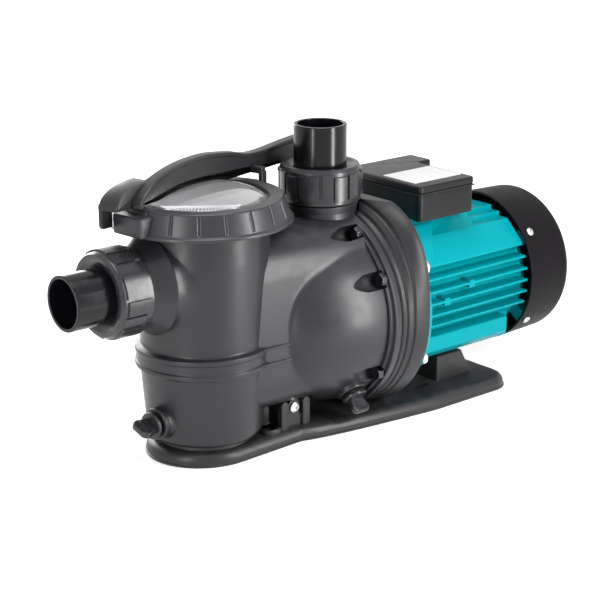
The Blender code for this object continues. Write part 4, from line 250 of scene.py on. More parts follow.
def extruded(outline, low, high, edge=0.0, at=(0, 0, 0), direction=(0, 0, 1), steps=3):
    """Outline carried from low to high, drawn in along its own normals at both ends as a round edge."""
    outline = rounded(outline)
    run = np.roll(outline, -1, axis=0) - np.roll(outline, 1, axis=0)
    normal = np.stack([run[:, 1], -run[:, 0]], axis=1) / np.linalg.norm(run, axis=1, keepdims=True)
    x, y = outline[:, 0], outline[:, 1]
    if np.sum(x * np.roll(y, -1) - y * np.roll(x, -1)) < 0:
        normal = -normal
    turn = np.linspace(0, np.pi / 2, steps + 1) if edge else np.array([np.pi / 2])
    inset = edge * (1 - np.sin(turn))
    lift = edge * (1 - np.cos(turn))
    inset = np.concatenate([inset, inset[::-1]])
    height = np.concatenate([low + lift, high - lift[::-1]])
    flat = outline[None] - inset[:, None, None] * normal[None]
    grid = np.concatenate([flat, np.broadcast_to(height[:, None, None], flat.shape[:2] + (1,))], axis=-1)
    return shell(placed(grid, at, direction))


def oblong(x0, y0, x1, y1, *corner):
    """Four corners of an oblong, each with that radius."""
    return [(x0, y0, *corner), (x1, y0, *corner), (x1, y1, *corner), (x0, y1, *corner)]


def block(low, high, corner=0.001, edge=0.0005):
    """Box between two corner points with rounded upright edges and rims."""
    (x0, near, z0), (x1, far, z1) = low, high
    y0, y1 = sorted((near, far))
    return extruded(oblong(x0, y0, x1, y1, corner), z0, z1, edge)


def upright(skin):
    """A skin drawn as (x, height, y) stood up."""
    return skin[0][:, [0, 2, 1]], skin[1]


def gathered(shells):
    """Several separate closed skins as one."""
    points, polygons, count = [], [], 0
    for some, faces in shells:
        points.append(some)
        polygons += [[index + count for index in face] for face in faces]
        count += len(some)
    return np.concatenate(points), polygons


def solid(name, skin):
    """Mesh object of a closed skin: doubles merged at poles and seams, faces pointing out."""
    mesh = bpy.data.meshes.new(name)
    mesh.from_pydata(skin[0].tolist(), [], skin[1])
    bm = bmesh.new()
    bm.from_mesh(mesh)
    bmesh.ops.remove_doubles(bm, verts=bm.verts, dist=0.000001)
    bmesh.ops.recalc_face_normals(bm, faces=bm.faces)
    bm.to_mesh(mesh)
    bm.free()
    obj = bpy.data.objects.new(name, mesh)
    scene.collection.objects.link(obj)
    return obj


def piece(name, look, skins, stands_for=None, cuts=(), body="pump_frame", sharp=32):
    """A finished piece: skins fused, cuts taken out, smooth but for edges over the sharp angle."""
    obj = solid(name, skins[0])
    tools = []
    for operation, group in (("UNION", skins[1:]), ("DIFFERENCE", cuts)):
        for skin in group:
            tools.append(solid(name + "_tool", skin))
            step = obj.modifiers.new(operation, "BOOLEAN")
            step.operation = operation
            step.solver = "MANIFOLD"
            step.object = tools[-1]
    if tools:
        bpy.context.view_layer.update()
        graph = bpy.context.evaluated_depsgraph_get()
        fused = bpy.data.meshes.new_from_object(obj.evaluated_get(graph))
        obj.modifiers.clear()
        obj.data = fused
    for tool in tools:
        bpy.data.objects.remove(tool, do_unlink=True)
    obj.data.name = name
    obj.data.materials.clear()
    obj.data.materials.append(look)
    obj.data.shade_smooth()
    obj.data.set_sharp_from_angle(angle=np.radians(sharp))
    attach(obj, body)
    if stands_for:
        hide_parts(stands_for)
    return obj


BASE_TOP = 0.013
BASE_END = (0.057, 0.0535)
BASE_WAIST = 0.003
BASE_HALF = 0.074
BASE_TAIL = 0.34
BASE_CORNER = 0.025
FLARE = (0.075, 0.23)
FLARE_POWER = 0.65
FLARE_EASE = 0.04
ROLL = 0.0085
FRONT_SLOT = (0.0495, 0.0355, 0.012)
REAR_SLOT = (0.24, 0.038, 0.022)
SLOT_WIDTH = 0.009
EYELET_WALL = 0.005
THROUGH = (-0.01, 0.03)
SUNK = 0.006
SEAT_TOP = 0.0167
HOLLOWS = ((0.0925, 0.218), (0.262, 0.3275))
TO_SIDE = (0, 1, 0)
CLEVIS_X = 0.0745
CLEVIS_Y = (0.037, 0.04, 0.043)
CLEVIS_TOP = 0.04
CLEVIS_WALL = 0.0115
CLEVIS_TAB = 0.0068
CLEVIS_EAR = (0.013, 0.0042)
SCREW_HEIGHT = 0.0319
SCREW_HOLE = 0.0033
CRADLE = [(0.262, 0.0065), (0.314, 0.0065), (0.2965, 0.0394, 0.002), (0.262, 0.0394, 0.002)]
CRADLE_HALF = 0.04


def base_plan(inset):
    """Plan of the base, drawn in by an inset: oval end, waist, eased power-law flare, two rear corners."""
    end, half = BASE_END[0] - inset, BASE_END[1] - inset
    waist = half - BASE_WAIST
    turn = np.linspace(np.pi / 2, 3 * np.pi / 2, 90)
    nose = np.stack([end * np.cos(turn), half * np.sin(turn)], axis=1)
    share = np.linspace(0, 1, 60) ** 1.3
    eased = (np.hypot(share, FLARE_EASE) - FLARE_EASE) / (np.hypot(1, FLARE_EASE) - FLARE_EASE)
    spread = -waist - eased**FLARE_POWER * (BASE_HALF - inset - waist)
    flare = np.stack([FLARE[0] + share * (FLARE[1] - FLARE[0]), spread], axis=1)
    turn = np.linspace(-np.pi / 2, 0, 18)
    corner = np.stack([np.cos(turn), np.sin(turn)], axis=1) * (BASE_CORNER - inset)
    side = np.concatenate([flare, corner + (BASE_TAIL - BASE_CORNER, BASE_CORNER - BASE_HALF)])
    return np.concatenate([nose, side, side[::-1] * (1, -1)])


def slot_plan(length, width):
    """Plan of a slot with round ends."""
    x, y = length / 2, width / 2
    return rounded(oblong(-x, -y, x, y, 0.999 * y), steps=10)


def tombstone(x, half, depths):
    """Upright tab between two depths: straight sides and a round head."""
    bend = 0.9 * half
    line = [(x - half, SUNK), (x + half, SUNK), (x + half, CLEVIS_TOP, bend), (x - half, CLEVIS_TOP, bend)]
    return upright(extruded(rounded(line, steps=10), *sorted(depths), 0.0007))


turn = np.linspace(0, np.pi / 2, 12)
roll = np.stack([0.0011 + ROLL * (1 - np.cos(turn)), BASE_TOP - ROLL + ROLL * np.sin(turn)], axis=1)
lip = [(0.0012, 0.0), (0.0003, 0.0003), (0.0, 0.001), (0.0, 0.0022), (0.0009, 0.0028), (0.0011, 0.0038)]
base_rows = [np.insert(base_plan(inset), 2, z, axis=1) for inset, z in [*lip, *roll]]
base_skins = [
    shell(np.stack(base_rows)),
    turned([(0, SEAT_TOP), (0.044, SEAT_TOP, 0.001), (0.0455, SUNK), (0, SUNK)], 96),
    upright(extruded(CRADLE, -CRADLE_HALF, CRADLE_HALF, 0.0015)),
]
base_cuts = []
for side in (-1, 1):
    inner, outer, ear = [side * y for y in CLEVIS_Y]
    x, y, length = FRONT_SLOT
    eyelet = slot_plan(length + 2 * EYELET_WALL, SLOT_WIDTH + 2 * EYELET_WALL) + (x, side * y)
    base_skins += [
        block((CLEVIS_X - CLEVIS_WALL, inner, SUNK), (CLEVIS_X + CLEVIS_WALL, outer, 0.024), 0.0008, 0.0008),
        tombstone(CLEVIS_X, CLEVIS_TAB, (inner, outer)),
        tombstone(CLEVIS_X - CLEVIS_EAR[0], CLEVIS_EAR[1], (inner, ear)),
        tombstone(CLEVIS_X + CLEVIS_EAR[0], CLEVIS_EAR[1], (inner, ear)),
        extruded(eyelet, SUNK, 0.017, 0.0016),
    ]
    dish = slot_plan(length + EYELET_WALL, SLOT_WIDTH + EYELET_WALL) + (x, side * y)
    base_cuts += [
        rod(SCREW_HOLE, -0.006, 0.006, 32, (CLEVIS_X, side * 0.0385, SCREW_HEIGHT), TO_SIDE),
        extruded(dish, 0.0148, 0.03, 0.0008),
    ]
    for x, y, length in (FRONT_SLOT, REAR_SLOT):
        base_cuts.append(extruded(slot_plan(length, SLOT_WIDTH) + (x, side * y), *THROUGH))
base_cuts += [block((start, -0.045, -0.007), (end, 0.045, 0.007), 0.004, 0.001) for start, end in HOLLOWS]
black_satin = moulded("black_satin_moulding", (0.018, 0.018, 0.019), 0.38, 0.4, 0.05, 0.1, 0.36)
piece("base", black_satin, base_skins, "base_plate", base_cuts)

# Pump body: strainer pot, bridge and volute barrel in one charcoal moulding. The pot is turned; the
# volute swells out of a round-cornered bridge; ports, bolt pockets and bores are fused and cut.

SHAFT_Z = 0.109
SUCTION_Z = 0.169
DISCHARGE_X = 0.1405
NOSE_X = 0.054
FLANGE_X = 0.157
PLUG_DIRECTION = (np.cos(np.radians(188)), np.sin(np.radians(188)), 0.0)
PLUG = ((0.063 * PLUG_DIRECTION[0], 0.063 * PLUG_DIRECTION[1], 0.04), PLUG_DIRECTION)
DRAIN_DIRECTION = (0.0, -np.cos(np.radians(48)), -np.sin(np.radians(48)))
DRAIN = ((0.128, 0.093 * DRAIN_DIRECTION[1], SHAFT_Z + 0.093 * DRAIN_DIRECTION[2]), DRAIN_DIRECTION)
ON_SHAFT = (0, 0, SHAFT_Z)
TO_REAR = (1, 0, 0)
TO_FRONT = (-1, 0, 0)
SHAFT = (ON_SHAFT, TO_REAR)
SUCTION = ((0, 0, SUCTION_Z), TO_FRONT)
DISCHARGE = (DISCHARGE_X, 0, 0)
CASING_BOLTS = [t for angle in (28, -32, 60) for t in (angle, 180 - angle)]
BOLT_CIRCLE = 0.0925
BOLT_BORE = 0.0043
UNDER_MOTOR = (0.224, 0.15, 0.0145)


def evenly(line, count):
    """The closed line again, with points at equal steps along it."""
    loop = np.concatenate([line, line[:1]])
    run = np.concatenate([[0], np.cumsum(np.linalg.norm(np.diff(loop, axis=0), axis=1))])
    spots = np.linspace(0, run[-1], count, endpoint=False)
    return np.stack([np.interp(spots, run, loop[:, 0]), np.interp(spots, run, loop[:, 1])], axis=1)


def reach_round(line, turn):
    """Radius of a closed line, seen from the axis inside it, at each angle."""
    line = evenly(line, 1440)
    angle = np.arctan2(line[:, 1], line[:, 0])
    return np.interp(turn, angle, np.linalg.norm(line, axis=1), period=2 * np.pi)


def softer_max(a, b, width):
    """The larger of two values, with a round transition of that width where they cross."""
    return 0.5 * (a + b + np.sqrt((a - b) ** 2 + width**2))


def volute_skin():
    """Radius round the shaft at each station: the larger of the bridge's box and the swelling barrel."""
    start, end = 0.01, 0.152
    turn = np.linspace(-np.pi, np.pi, 256, endpoint=False)
    rows = []
    for x in np.concatenate([np.linspace(start, NOSE_X - 0.001, 12), np.linspace(NOSE_X, end, 64)]):
        half = 0.052 + 0.011 * ((x - start) / (end - start))
        low, high = (-0.073, 0.03), (0.095, 0.04)
        box = rounded([(-half, *low), (half, *low), (half, *high), (-half, *high)], steps=12)
        run = np.clip((x - NOSE_X) / (end - NOSE_X), 0, 1)
        barrel = 0.046 + 0.0455 * np.sqrt(1 - (1 - run) ** 2) if x >= NOSE_X else 0.03
        rows.append(swept(softer_max(reach_round(box, turn), barrel, 0.0016), x, turn))
    return shell(placed(np.stack(rows), *SHAFT))


def suction_boss_skin():
    """Bell from the union's thread to the pot: it widens to a rim, draws in and flares into the wall."""
    turn = round_turn(128)
    share = np.linspace(0, 1, 64)[:, None]
    bell = np.clip(share / 0.6, 0, 1)
    lip = np.clip((share - 0.6) / 0.1, 0, 1) * np.pi / 2
    root = np.clip((share - 0.7) / 0.3, 0, 1)
    radius = 0.0362 + 0.0095 * bell**1.4 - 0.0022 * (1 - np.cos(lip)) + 0.0065 * root**3
    y = radius * np.cos(turn)
    z = SUCTION_Z + radius * np.sin(turn)
    wall = -np.sqrt(0.0605**2 - np.clip(np.abs(y), 0, 0.058) ** 2) + 0.004
    start = -0.0785 + 0.018 * bell + 0.0022 * np.sin(lip)
    x = start + (wall - start) * root
    return shell(np.stack([x, y, z], axis=-1))


def round_shaft(radius, degrees, x=0.0):
    """Point round the shaft, the angle counted up from the near side."""
    turn = np.radians(degrees)
    return np.array([x, -radius * np.cos(turn), SHAFT_Z + radius * np.sin(turn)])


pot = [(0, 0.232), (0.072, 0.232, 0.0008), (0.072, 0.2205, 0.0008), (0.0615, 0.216, 0.003)]
pot += [(0.0615, 0.188, 0.02), (0.0573, 0.1058, 0.002), (0.0629, 0.1042, 0.0011), (0.0629, 0.1003, 0.0011)]
pot += [(0.0616, 0.099, 0.0008), (0.0616, 0.0912, 0.0008), (0.0629, 0.0899, 0.0011)]
pot += [(0.0629, 0.086, 0.0011), (0.0582, 0.0842, 0.002), (0.053, 0.017, 0.008), (0, 0.017)]
flange = [(0, 0.1455), (0.095, 0.1455, 0.0015), (0.095, 0.1487, 0.0008), (0.099, 0.149, 0.0012)]
flange += [(0.099, FLANGE_X, 0.0012), (0, FLANGE_X)]
neck = [(0, 0.23), (0.0345, 0.23, 0.0006), (0.0345, 0.215, 0.0005), (0.0362, 0.2142, 0.0008)]
neck += [(0.0348, 0.2075, 0.004), (0.0352, 0.2003, 0.001), (0, 0.2003)]
drain_boss = [(0, -0.018), (0.0185, -0.018), (0.0145, -0.006, 0.006), (0.0148, 0, 0.0012), (0, 0)]
body_skins = [
    turned(pot, 192, bend=8),
    volute_skin(),
    suction_boss_skin(),
    turned(flange, 192, *SHAFT),
    turned([(0, -0.05), (0.0345, -0.05), (0.0345, 0.093, 0.0006), (0, 0.093)], 96, *SUCTION),
    turned(neck, 96, DISCHARGE),
    turned(drain_boss, 64, *PLUG),
    turned(drain_boss, 64, *DRAIN),
]
cavity = [(0, 0.242), (0.058, 0.242), (0.058, 0.203), (0.0505, 0.203, 0.001), (0.0465, 0.027, 0.003)]
hollow = [(0, 0.167), (0.079, 0.167), (0.079, 0.128), (0.073, 0.108), (0.058, 0.086), (0, 0.086)]
body_cuts = [
    turned([*cavity, (0.0425, 0.023), (0, 0.023)], 160),
    turned(oblong(0.0617, 0.242, 0.0663, 0.2274), 128),
    turned(hollow, 128, *SHAFT),
    rod(0.024, 0.03, 0.096, 64, *SHAFT),
    rod(0.0215, 0.03, 0.148, 64, *SUCTION),
    rod(0.0215, 0.205, 0.29, 64, DISCHARGE),
    rod(0.0145, 0.15, 0.208, 64, (DISCHARGE_X - 0.003, 0, 0)),
    rod(0.0078, -0.03, 0.01, 48, *PLUG),
    rod(0.0078, -0.03, 0.01, 48, *DRAIN),
]
pocket = [(0, 0.167), (BOLT_BORE, 0.167), (BOLT_BORE, 0.1475), (0.009, 0.1475, 0.0008)]
pocket += [(0.009, 0.128, 0.02), (0, 0.1005)]
body_cuts += [turned(pocket, 48, round_shaft(BOLT_CIRCLE, degrees), TO_REAR) for degrees in CASING_BOLTS]
for side in (-1, 1):
    body_skins += [
        block((0.0, side * 0.03, 0.0862), (0.066, side * 0.0566, 0.089), 0.001, 0.0008),
        block((0.0, side * 0.03, 0.1012), (0.072, side * 0.0566, 0.104), 0.001, 0.0008),
        block((0.062, side * 0.0373, 0.0135), (0.0835, side * 0.0167, 0.066)),
    ]
    body_cuts += [
        block((0.0555, side * 0.0367, 0.0), (0.0935, side * 0.057, 0.0415)),
        rod(SCREW_HOLE, -0.014, 0.014, 24, (CLEVIS_X, side * 0.037, SCREW_HEIGHT), TO_SIDE),
    ]
body_cuts.append(block((NOSE_X + 0.04, -0.15, -0.05), UNDER_MOTOR, 0.001, 0.0005))
charcoal = moulded("charcoal_moulding", (0.017, 0.017, 0.02), 0.34, 0.2, 0.03, 0.1, 0.4)
piece("pump_moulding", charcoal, body_skins, "pump_body", body_cuts, sharp=28)

# Strainer basket: pale moulded cup with a ring of narrow slots and a collar with fine ticks. It hangs by
# its rim on the ledge in the pot's mouth and is lifted out by hand.


def spun(skin, degrees):
    """A skin turned about the pot's axis."""
    c, s = np.cos(np.radians(degrees)), np.sin(np.radians(degrees))
    return skin[0] @ np.array([[c, s, 0], [-s, c, 0], [0, 0, 1]]), skin[1]


BASKET_FOOT = 0.0533
BASKET_RIM = (0.2033, 0.2073)
SLITS = 40
TICKS = 100
cup = [(0, BASKET_FOOT + 0.0022), (0.0388, BASKET_FOOT + 0.0022, 0.004), (0.0463, BASKET_RIM[1], 0.001)]
cup += [(0.057, BASKET_RIM[1], 0.001), (0.057, BASKET_RIM[0], 0.0008), (0.0485, BASKET_RIM[0], 0.001)]
cup += [(0.041, BASKET_FOOT, 0.003), (0, BASKET_FOOT)]
slit = block((0.03, -0.0014, BASKET_FOOT + 0.012), (0.053, 0.0014, BASKET_RIM[0] - 0.0025), 0.0005, 0.0004)
slits = gathered([spun(slit, 360 / SLITS * i) for i in range(SLITS)])
collar = [(0.0478, 0.206), (0.0478, 0.2262, 0.0005), (0.05, 0.2262, 0.0005), (0.05, 0.206)]
tick = block((0.046, -0.0009, 0.212), (0.052, 0.0009, 0.2236), 0.0003, 0.0003)
ticks = gathered([spun(tick, 360 / TICKS * i) for i in range(TICKS)])
pale_mesh = moulded("pale_basket_moulding", (0.76, 0.77, 0.79), 0.42, 0.08, 0.0, 0.05, 0.4)
skins = [turned(cup, 120), turned(collar, 160)]
piece("basket_cup", pale_mesh, skins, "strainer_basket", [slits, ticks], "basket")

# Lid: clear moulded dome. Its flange lies under the lock ring and its spigot reaches into the pot, so
# that the basket shows through it.

DOME = 0.0603
LID_TOP = 0.2358
LID_RISE = 0.0138
LID_WALL = 0.0035
turn = np.linspace(0, np.pi / 2, 28)
dome = [(DOME * np.sin(t), LID_TOP + LID_RISE * np.cos(t)) for t in turn]
dome += [(0.0715, LID_TOP), (0.0715, 0.2323), (0.057, 0.2323), (0.057, 0.2243)]
dome += [(0.0535, 0.2243), (0.0535, 0.2323)]
dome += [((DOME - LID_WALL) * np.sin(t), LID_TOP + (LID_RISE - LID_WALL) * np.cos(t)) for t in turn[-7::-1]]
glass = {"Base Color": (0.99, 0.99, 1.0, 1), "Transmission Weight": 0.92, "IOR": 1.49}
clear, tree, inputs = material("clear_lid", glass)
haze = noise(tree, node(tree, "TexCoord").outputs["Object"], 120.0, 3.0)
tree.links.new(ranged(tree, haze, 0, 1, 0.0, 0.06), inputs["Roughness"])
lid_dome = piece("lid_dome", clear, [turned(dome, 160)], "lid", [], "lid_body", 30)
lid_dome.visible_shadow = False

# Lock ring: black ring that screws down the lid. Thin upright grooves part its skirt into staves, and
# a wide lug in front and a narrow one behind take the wrench.

RING_TOP = 0.2416
RING_LOW = 0.2187
LUGS = ((187.2, 0.036), (21.8, 0.02))
LUG_Z = (RING_LOW + 0.0015, RING_LOW + 0.0193)
STAVE = 18
STAVE_START = 213.75


def ring_skin():
    """Turned ring whose outer skirt dips by a narrow groove at even angles."""
    profile = [(0.0615, RING_TOP, 0.0008), (0.0745, RING_TOP, 0.002), (0.0805, 0.2227, 0.001)]
    profile += [(0.0834, 0.2217, 0.001), (0.0834, RING_LOW, 0.0008), (0.0728, RING_LOW, 0.0004)]
    profile = evenly(rounded([*profile, (0.0728, 0.2361), (0.0615, 0.2361, 0.0006)]), 100)
    turn = round_turn(720)
    from_groove = (np.degrees(turn) - STAVE_START + STAVE / 2) % STAVE - STAVE / 2
    groove = np.exp(-((from_groove / 0.75) ** 4))
    radius, height = profile[:, :1], profile[:, 1:]
    skirt = (radius > 0.0735) & (height > 0.2236) & (height < 0.2402)
    return shell(swept(radius - 0.0011 * groove * skirt, height, turn), wrap=True)


ring_skins = [ring_skin()]
for degrees, width in LUGS:
    lug = block((0.0735, -width / 2, LUG_Z[0]), (0.0885, width / 2, LUG_Z[1]), 0.0018, 0.0018)
    ring_skins.append(spun(lug, degrees))
black_ring = moulded("black_ring_moulding", (0.024, 0.024, 0.028), 0.34, 0.3, 0.05, 0.1, 0.42)
piece("ring", black_ring, ring_skins, "lock_ring", body="ring")

# Lid wrench: black moulded lever that lies over the ring and the dome. A web stands under a strip that
# arches over the lid and turns down to the ring as a wide tab; a lobe with a prong and a jaw grip the lugs.

LEVER_ANGLE = np.radians(14.5)
LEVER_OFFSET = 0.0113
LEVER_FLOOR = RING_TOP + 0.0005
LEVER_REACH = 0.172
LEVER_TIP = 0.0155
LEVER_HEAD = -0.0834 - LEVER_TIP
LEVER_HIGH = 0.0205
LEVER_DOME = 0.0115
LEVER_CROWN = 0.031
SPAN = 0.0615
STRIP_HALF = 0.0055
STRIP_THICK = 0.0045
TAB_HALF = 0.0095
LOBE_FOOT = 0.0012
LOBE_CROWN = -0.87 * SPAN
LOBE_POWER = 0.85
PRONG_END = -0.0842


def smooth_line(points, count):
    """Catmull-Rom curve through points: each stretch is a cubic with slopes from its neighbours."""
    points = np.asarray(points, float)
    ends = np.concatenate([2 * points[:1] - points[1:2], points, 2 * points[-1:] - points[-2:-1]])
    spot = np.linspace(0, len(points) - 1, count)
    i = np.minimum(spot.astype(int), len(points) - 2)
    t = (spot - i)[:, None]
    a, b, c, d = ends[i], ends[i + 1], ends[i + 2], ends[i + 3]
    return 0.5 * (2 * b + (c - a) * t + (2 * a - 5 * b + 4 * c - d) * t**2 + (3 * b - a - 3 * c + d) * t**3)


def on_lever(skin):
    """A skin drawn as (along, height, across) set on the wrench's slanting line."""
    along, height, across = skin[0].T
    across = across + LEVER_OFFSET
    x = along * np.cos(LEVER_ANGLE) - across * np.sin(LEVER_ANGLE)
    y = along * np.sin(LEVER_ANGLE) + across * np.cos(LEVER_ANGLE)
    return np.stack([x, y, LEVER_FLOOR + height], axis=1), skin[1]


def strip_skin(path):
    """Flat superelliptic section carried along the crest; its half width grows towards the tab by a tanh."""
    run = np.gradient(path, axis=0)
    up = np.stack([-run[:, 1], run[:, 0]], axis=1) / np.linalg.norm(run, axis=1, keepdims=True)
    turn = round_turn(48)
    c, s = np.cos(turn), np.sin(turn)
    wide = STRIP_HALF + (TAB_HALF - STRIP_HALF) * (0.5 - 0.5 * np.tanh((path[:, :1] / SPAN + 0.98) / 0.1))
    across = wide * np.sign(c) * np.abs(c) ** 0.4
    thick = 0.5 * STRIP_THICK * (np.sign(s) * np.abs(s) ** 0.4 - 1)
    along = path[:, :1] + up[:, :1] * thick
    height = path[:, 1:] + up[:, 1:] * thick
    return shell(np.stack([along, height, across], axis=-1))


climb = LEVER_CROWN - LEVER_HIGH
crest = [(-1.14, 0.7, 0), (-1.0, 0.92, 0), (-0.81, 1, 0.23), (-0.58, 1, 0.6), (-0.29, 1, 0.88), (0, 1, 1)]
crest += [(0.35, 1, 1), (0.69, 1, 0.77), (0.98, 1, 0.5), (1.2, 1, 0.16), (1.43, 1, 0), (1.75, 1, 0)]
crest.append((2.3, 1, 0.2))
crest = [(share * SPAN, high * LEVER_HIGH + lift * climb) for share, high, lift in crest]
crest.append((LEVER_REACH - 0.2 * LEVER_TIP, LEVER_HIGH + 0.3 * climb))
drop = [(-1.272, 0.04), (-1.272, 0.26), (-1.235, 0.5)]
drop = [(share * SPAN, high * LEVER_HIGH) for share, high in drop]
humps = ((0.81, 0.4), (0.54, 0.7), (0.29, 0.95))
low = 0.1 * LEVER_HIGH
under = [(LEVER_REACH, 9 * low), (LEVER_REACH, 2 * low), (LEVER_REACH - 0.3 * LEVER_TIP, 1.2 * low)]
under += [(1.4 * SPAN, low), (1.1 * SPAN, low)]
under += [(share * SPAN, high * LEVER_DOME) for share, high in humps]
under += [(-share * SPAN, high * LEVER_DOME) for share, high in reversed(humps)]
under += [(-1.1 * SPAN, low), (-1.2 * SPAN, low)]
web = np.concatenate([smooth_line(crest, 110) - (0, 0.001), smooth_line(under, 90)])
turn = np.linspace(np.pi, np.pi / 2, 24)
lobe_x = np.sign(np.cos(turn)) * np.abs(np.cos(turn)) ** LOBE_POWER
lobe_z = np.sin(turn) ** LOBE_POWER
lobe_x = LOBE_CROWN + (LOBE_CROWN - LEVER_HEAD) * lobe_x
lobe_z = LOBE_FOOT + (LEVER_HIGH - LOBE_FOOT) * lobe_z
lobe = [*np.stack([lobe_x, lobe_z], axis=1), (-0.82 * SPAN, 0.6 * LEVER_HIGH), (-0.92 * SPAN, LOBE_FOOT)]
prong = [(LEVER_HEAD, 0.006), (LEVER_HEAD, -0.0167, 0.004), (PRONG_END, -0.0172, 0.002), (PRONG_END, 0.006)]
jaw = [(0.084, -0.0113, 0.001), (0.0918, -0.0113, 0.001), (0.0918, 0.0051, 0.002), (0.084, 0.0051, 0.002)]
arm = [(0.0848, 0.002), (0.091, 0.002), (0.091, 0.0088, 0.002), (0.0848, 0.0088, 0.002)]
lever = [
    extruded(web, -0.003, 0.003, 0.0006),
    strip_skin(smooth_line(drop + crest, 170) + (0, 0.0004)),
    extruded(lobe, 0.0, 0.022, 0.0019),
    extruded(prong, 0.0185, 0.0219, 0.0008),
    extruded(jaw, -0.017, -0.0125, 0.0008),
    extruded(arm, -0.0161, 0.0, 0.0008),
]
black_lever = moulded("black_lever_moulding", (0.02, 0.02, 0.022), 0.36, 0.4, 0.08, 0.08, 0.38)
skins = [on_lever(skin) for skin in lever]
piece("wrench", black_lever, skins, "lid_wrench", body="wrench")

# Unions: glossy pipe tails, each held on its port by a nut whose rim is chamfered and whose skirt
# carries raised blocks in a repeated pattern of one wide and two narrow ones.

TAIL = 0.025
TAIL_BORE = 0.0217
TAIL_SEAT = 0.0146
NUT_PITCH = 72
NUT_BLOCKS = ((0.5, 29, 0.0055, 0.0285), (32.5, 47, 0.0085, 0.0295), (49.5, 69, 0.004, 0.0275))


def nut_skin(start, at, direction):
    """Turned nut; its outer skirt rises by a step inside the blocks, which recur at a pitch."""
    profile = [(0.0253, 0.03), (0.0305, 0.033, 0.002), (0.0325, 0.034, 0.0006), (0.0366, 0.034, 0.0006)]
    profile += [(0.0385, 0.0305, 0.001), (0.0385, 0.0, 0.0008), (0.0348, 0.0), (0.0348, 0.0204)]
    profile = evenly(rounded([*profile, (0.0253, 0.0204)]), 150)
    turn = round_turn(600)
    phase = (np.degrees(turn) - start) % NUT_PITCH
    radius, height = profile[:, :1], profile[:, 1:]
    rise = 0.0
    for low, high, foot, head in NUT_BLOCKS:
        rise = rise + ((phase > low) & (phase < high)) * ((height > foot) & (height < head))
    grid = swept(radius + 0.0018 * rise * (radius > 0.038), height, turn)
    return shell(placed(grid, at, direction), wrap=True)


def tail_skin(length, at, direction):
    """Turned pipe end with a flange and an O-ring groove at its foot and a thin bevel at its mouth."""
    profile = [(TAIL_BORE, length, 0.0006), (TAIL, length, 0.0008), (TAIL, 0.0055, 0.001)]
    profile += [(0.0325, 0.0055, 0.0005), (0.0325, 0.0, 0.0004), (0.0298, 0.0), (0.0298, 0.0043)]
    profile += [(0.0252, 0.0043), (0.0252, 0.0), (TAIL_BORE, 0.0)]
    return turned(profile, 144, at, direction)


black_nut = moulded("black_nut_moulding", (0.022, 0.022, 0.025), 0.26, 0.4, 0.05, 0.08, 0.45)
black_pipe = moulded("gloss_black_pipe", (0.004, 0.004, 0.006), 0.18, 0.3, 0.01, 0.02, 0.28)
for place, start, length, at, direction in (
    ("suction", -66, 0.0544, (-0.079, 0, SUCTION_Z), TO_FRONT),
    ("discharge", 199.5, 0.0569, (DISCHARGE_X, 0, 0.216), (0, 0, 1)),
):
    nut, tail = f"{place}_nut", f"{place}_tail"
    seat = np.array(at) + TAIL_SEAT * np.array(direction)
    skins = [nut_skin(start, at, direction)]
    piece(nut, black_nut, skins, f"{place}_union_nut", body=nut)
    skins = [tail_skin(length, seat, direction)]
    piece(tail, black_pipe, skins, f"{place}_tailpiece", body=tail)

# Drain plugs: round heads on the two bosses, each with a dished wing that widens outwards and ends in
# round shoulders; they screw into the bosses against a small O-ring.


def carried(skin, at, direction):
    """A skin drawn round the origin carried to a place, with its z along a direction."""
    return placed(skin[0], at, direction), skin[1]


def plug_skins(at, direction, degrees):
    """Head and shank of a plug and its wing, drawn in the wing's plane and turned about the plug's axis."""
    stem = [(0, 0.0062), (0.0125, 0.0062, 0.0012), (0.0125, 0.003, 0.0008), (0.0075, 0.003)]
    stem += [(0.0075, -0.012), (0.0065, -0.013), (0, -0.013)]
    wing = [(-0.008, 0.005), (-0.0119, 0.0212, 0.0055)]
    wing += [(-x, *rest) for x, *rest in reversed(wing)]
    dish = [(-0.0062, 0.0078, 0.002), (-0.009, 0.0189, 0.0042)]
    dish += [(-x, *rest) for x, *rest in reversed(dish)]
    shapes = [extruded(evenly(rounded(wing), 160), -0.003, 0.003, 0.0012)]
    shapes.append(extruded(dish, 0.0021, 0.005, 0.0004))
    shapes.append(extruded(dish, -0.005, -0.0021, 0.0004))
    wing, *dishes = [carried(spun(upright(skin), degrees), at, direction) for skin in shapes]
    return [turned(stem, 64, at, direction), wing], dishes


for place, where, degrees in (("strainer", PLUG, -23), ("volute", DRAIN, -8)):
    plug = f"{place}_plug"
    skins, dishes = plug_skins(*where, degrees)
    piece(plug, black_nut, skins, f"{place}_drain_plug", dishes, plug)

# Motor bracket: dark lantern between volute and motor. It starts round behind the flange, with two
# shadow grooves, and turns into a flattened crown at the motor.

BRACKET = (0.1573, 0.1873)
CROWN = 0.105
BRACKET_GROOVES = (0.1628, 0.1705)
MOTOR_BOLTS = [t for angle in (29, -29) for t in (angle, 180 - angle)]
MOTOR_CIRCLE = 0.093


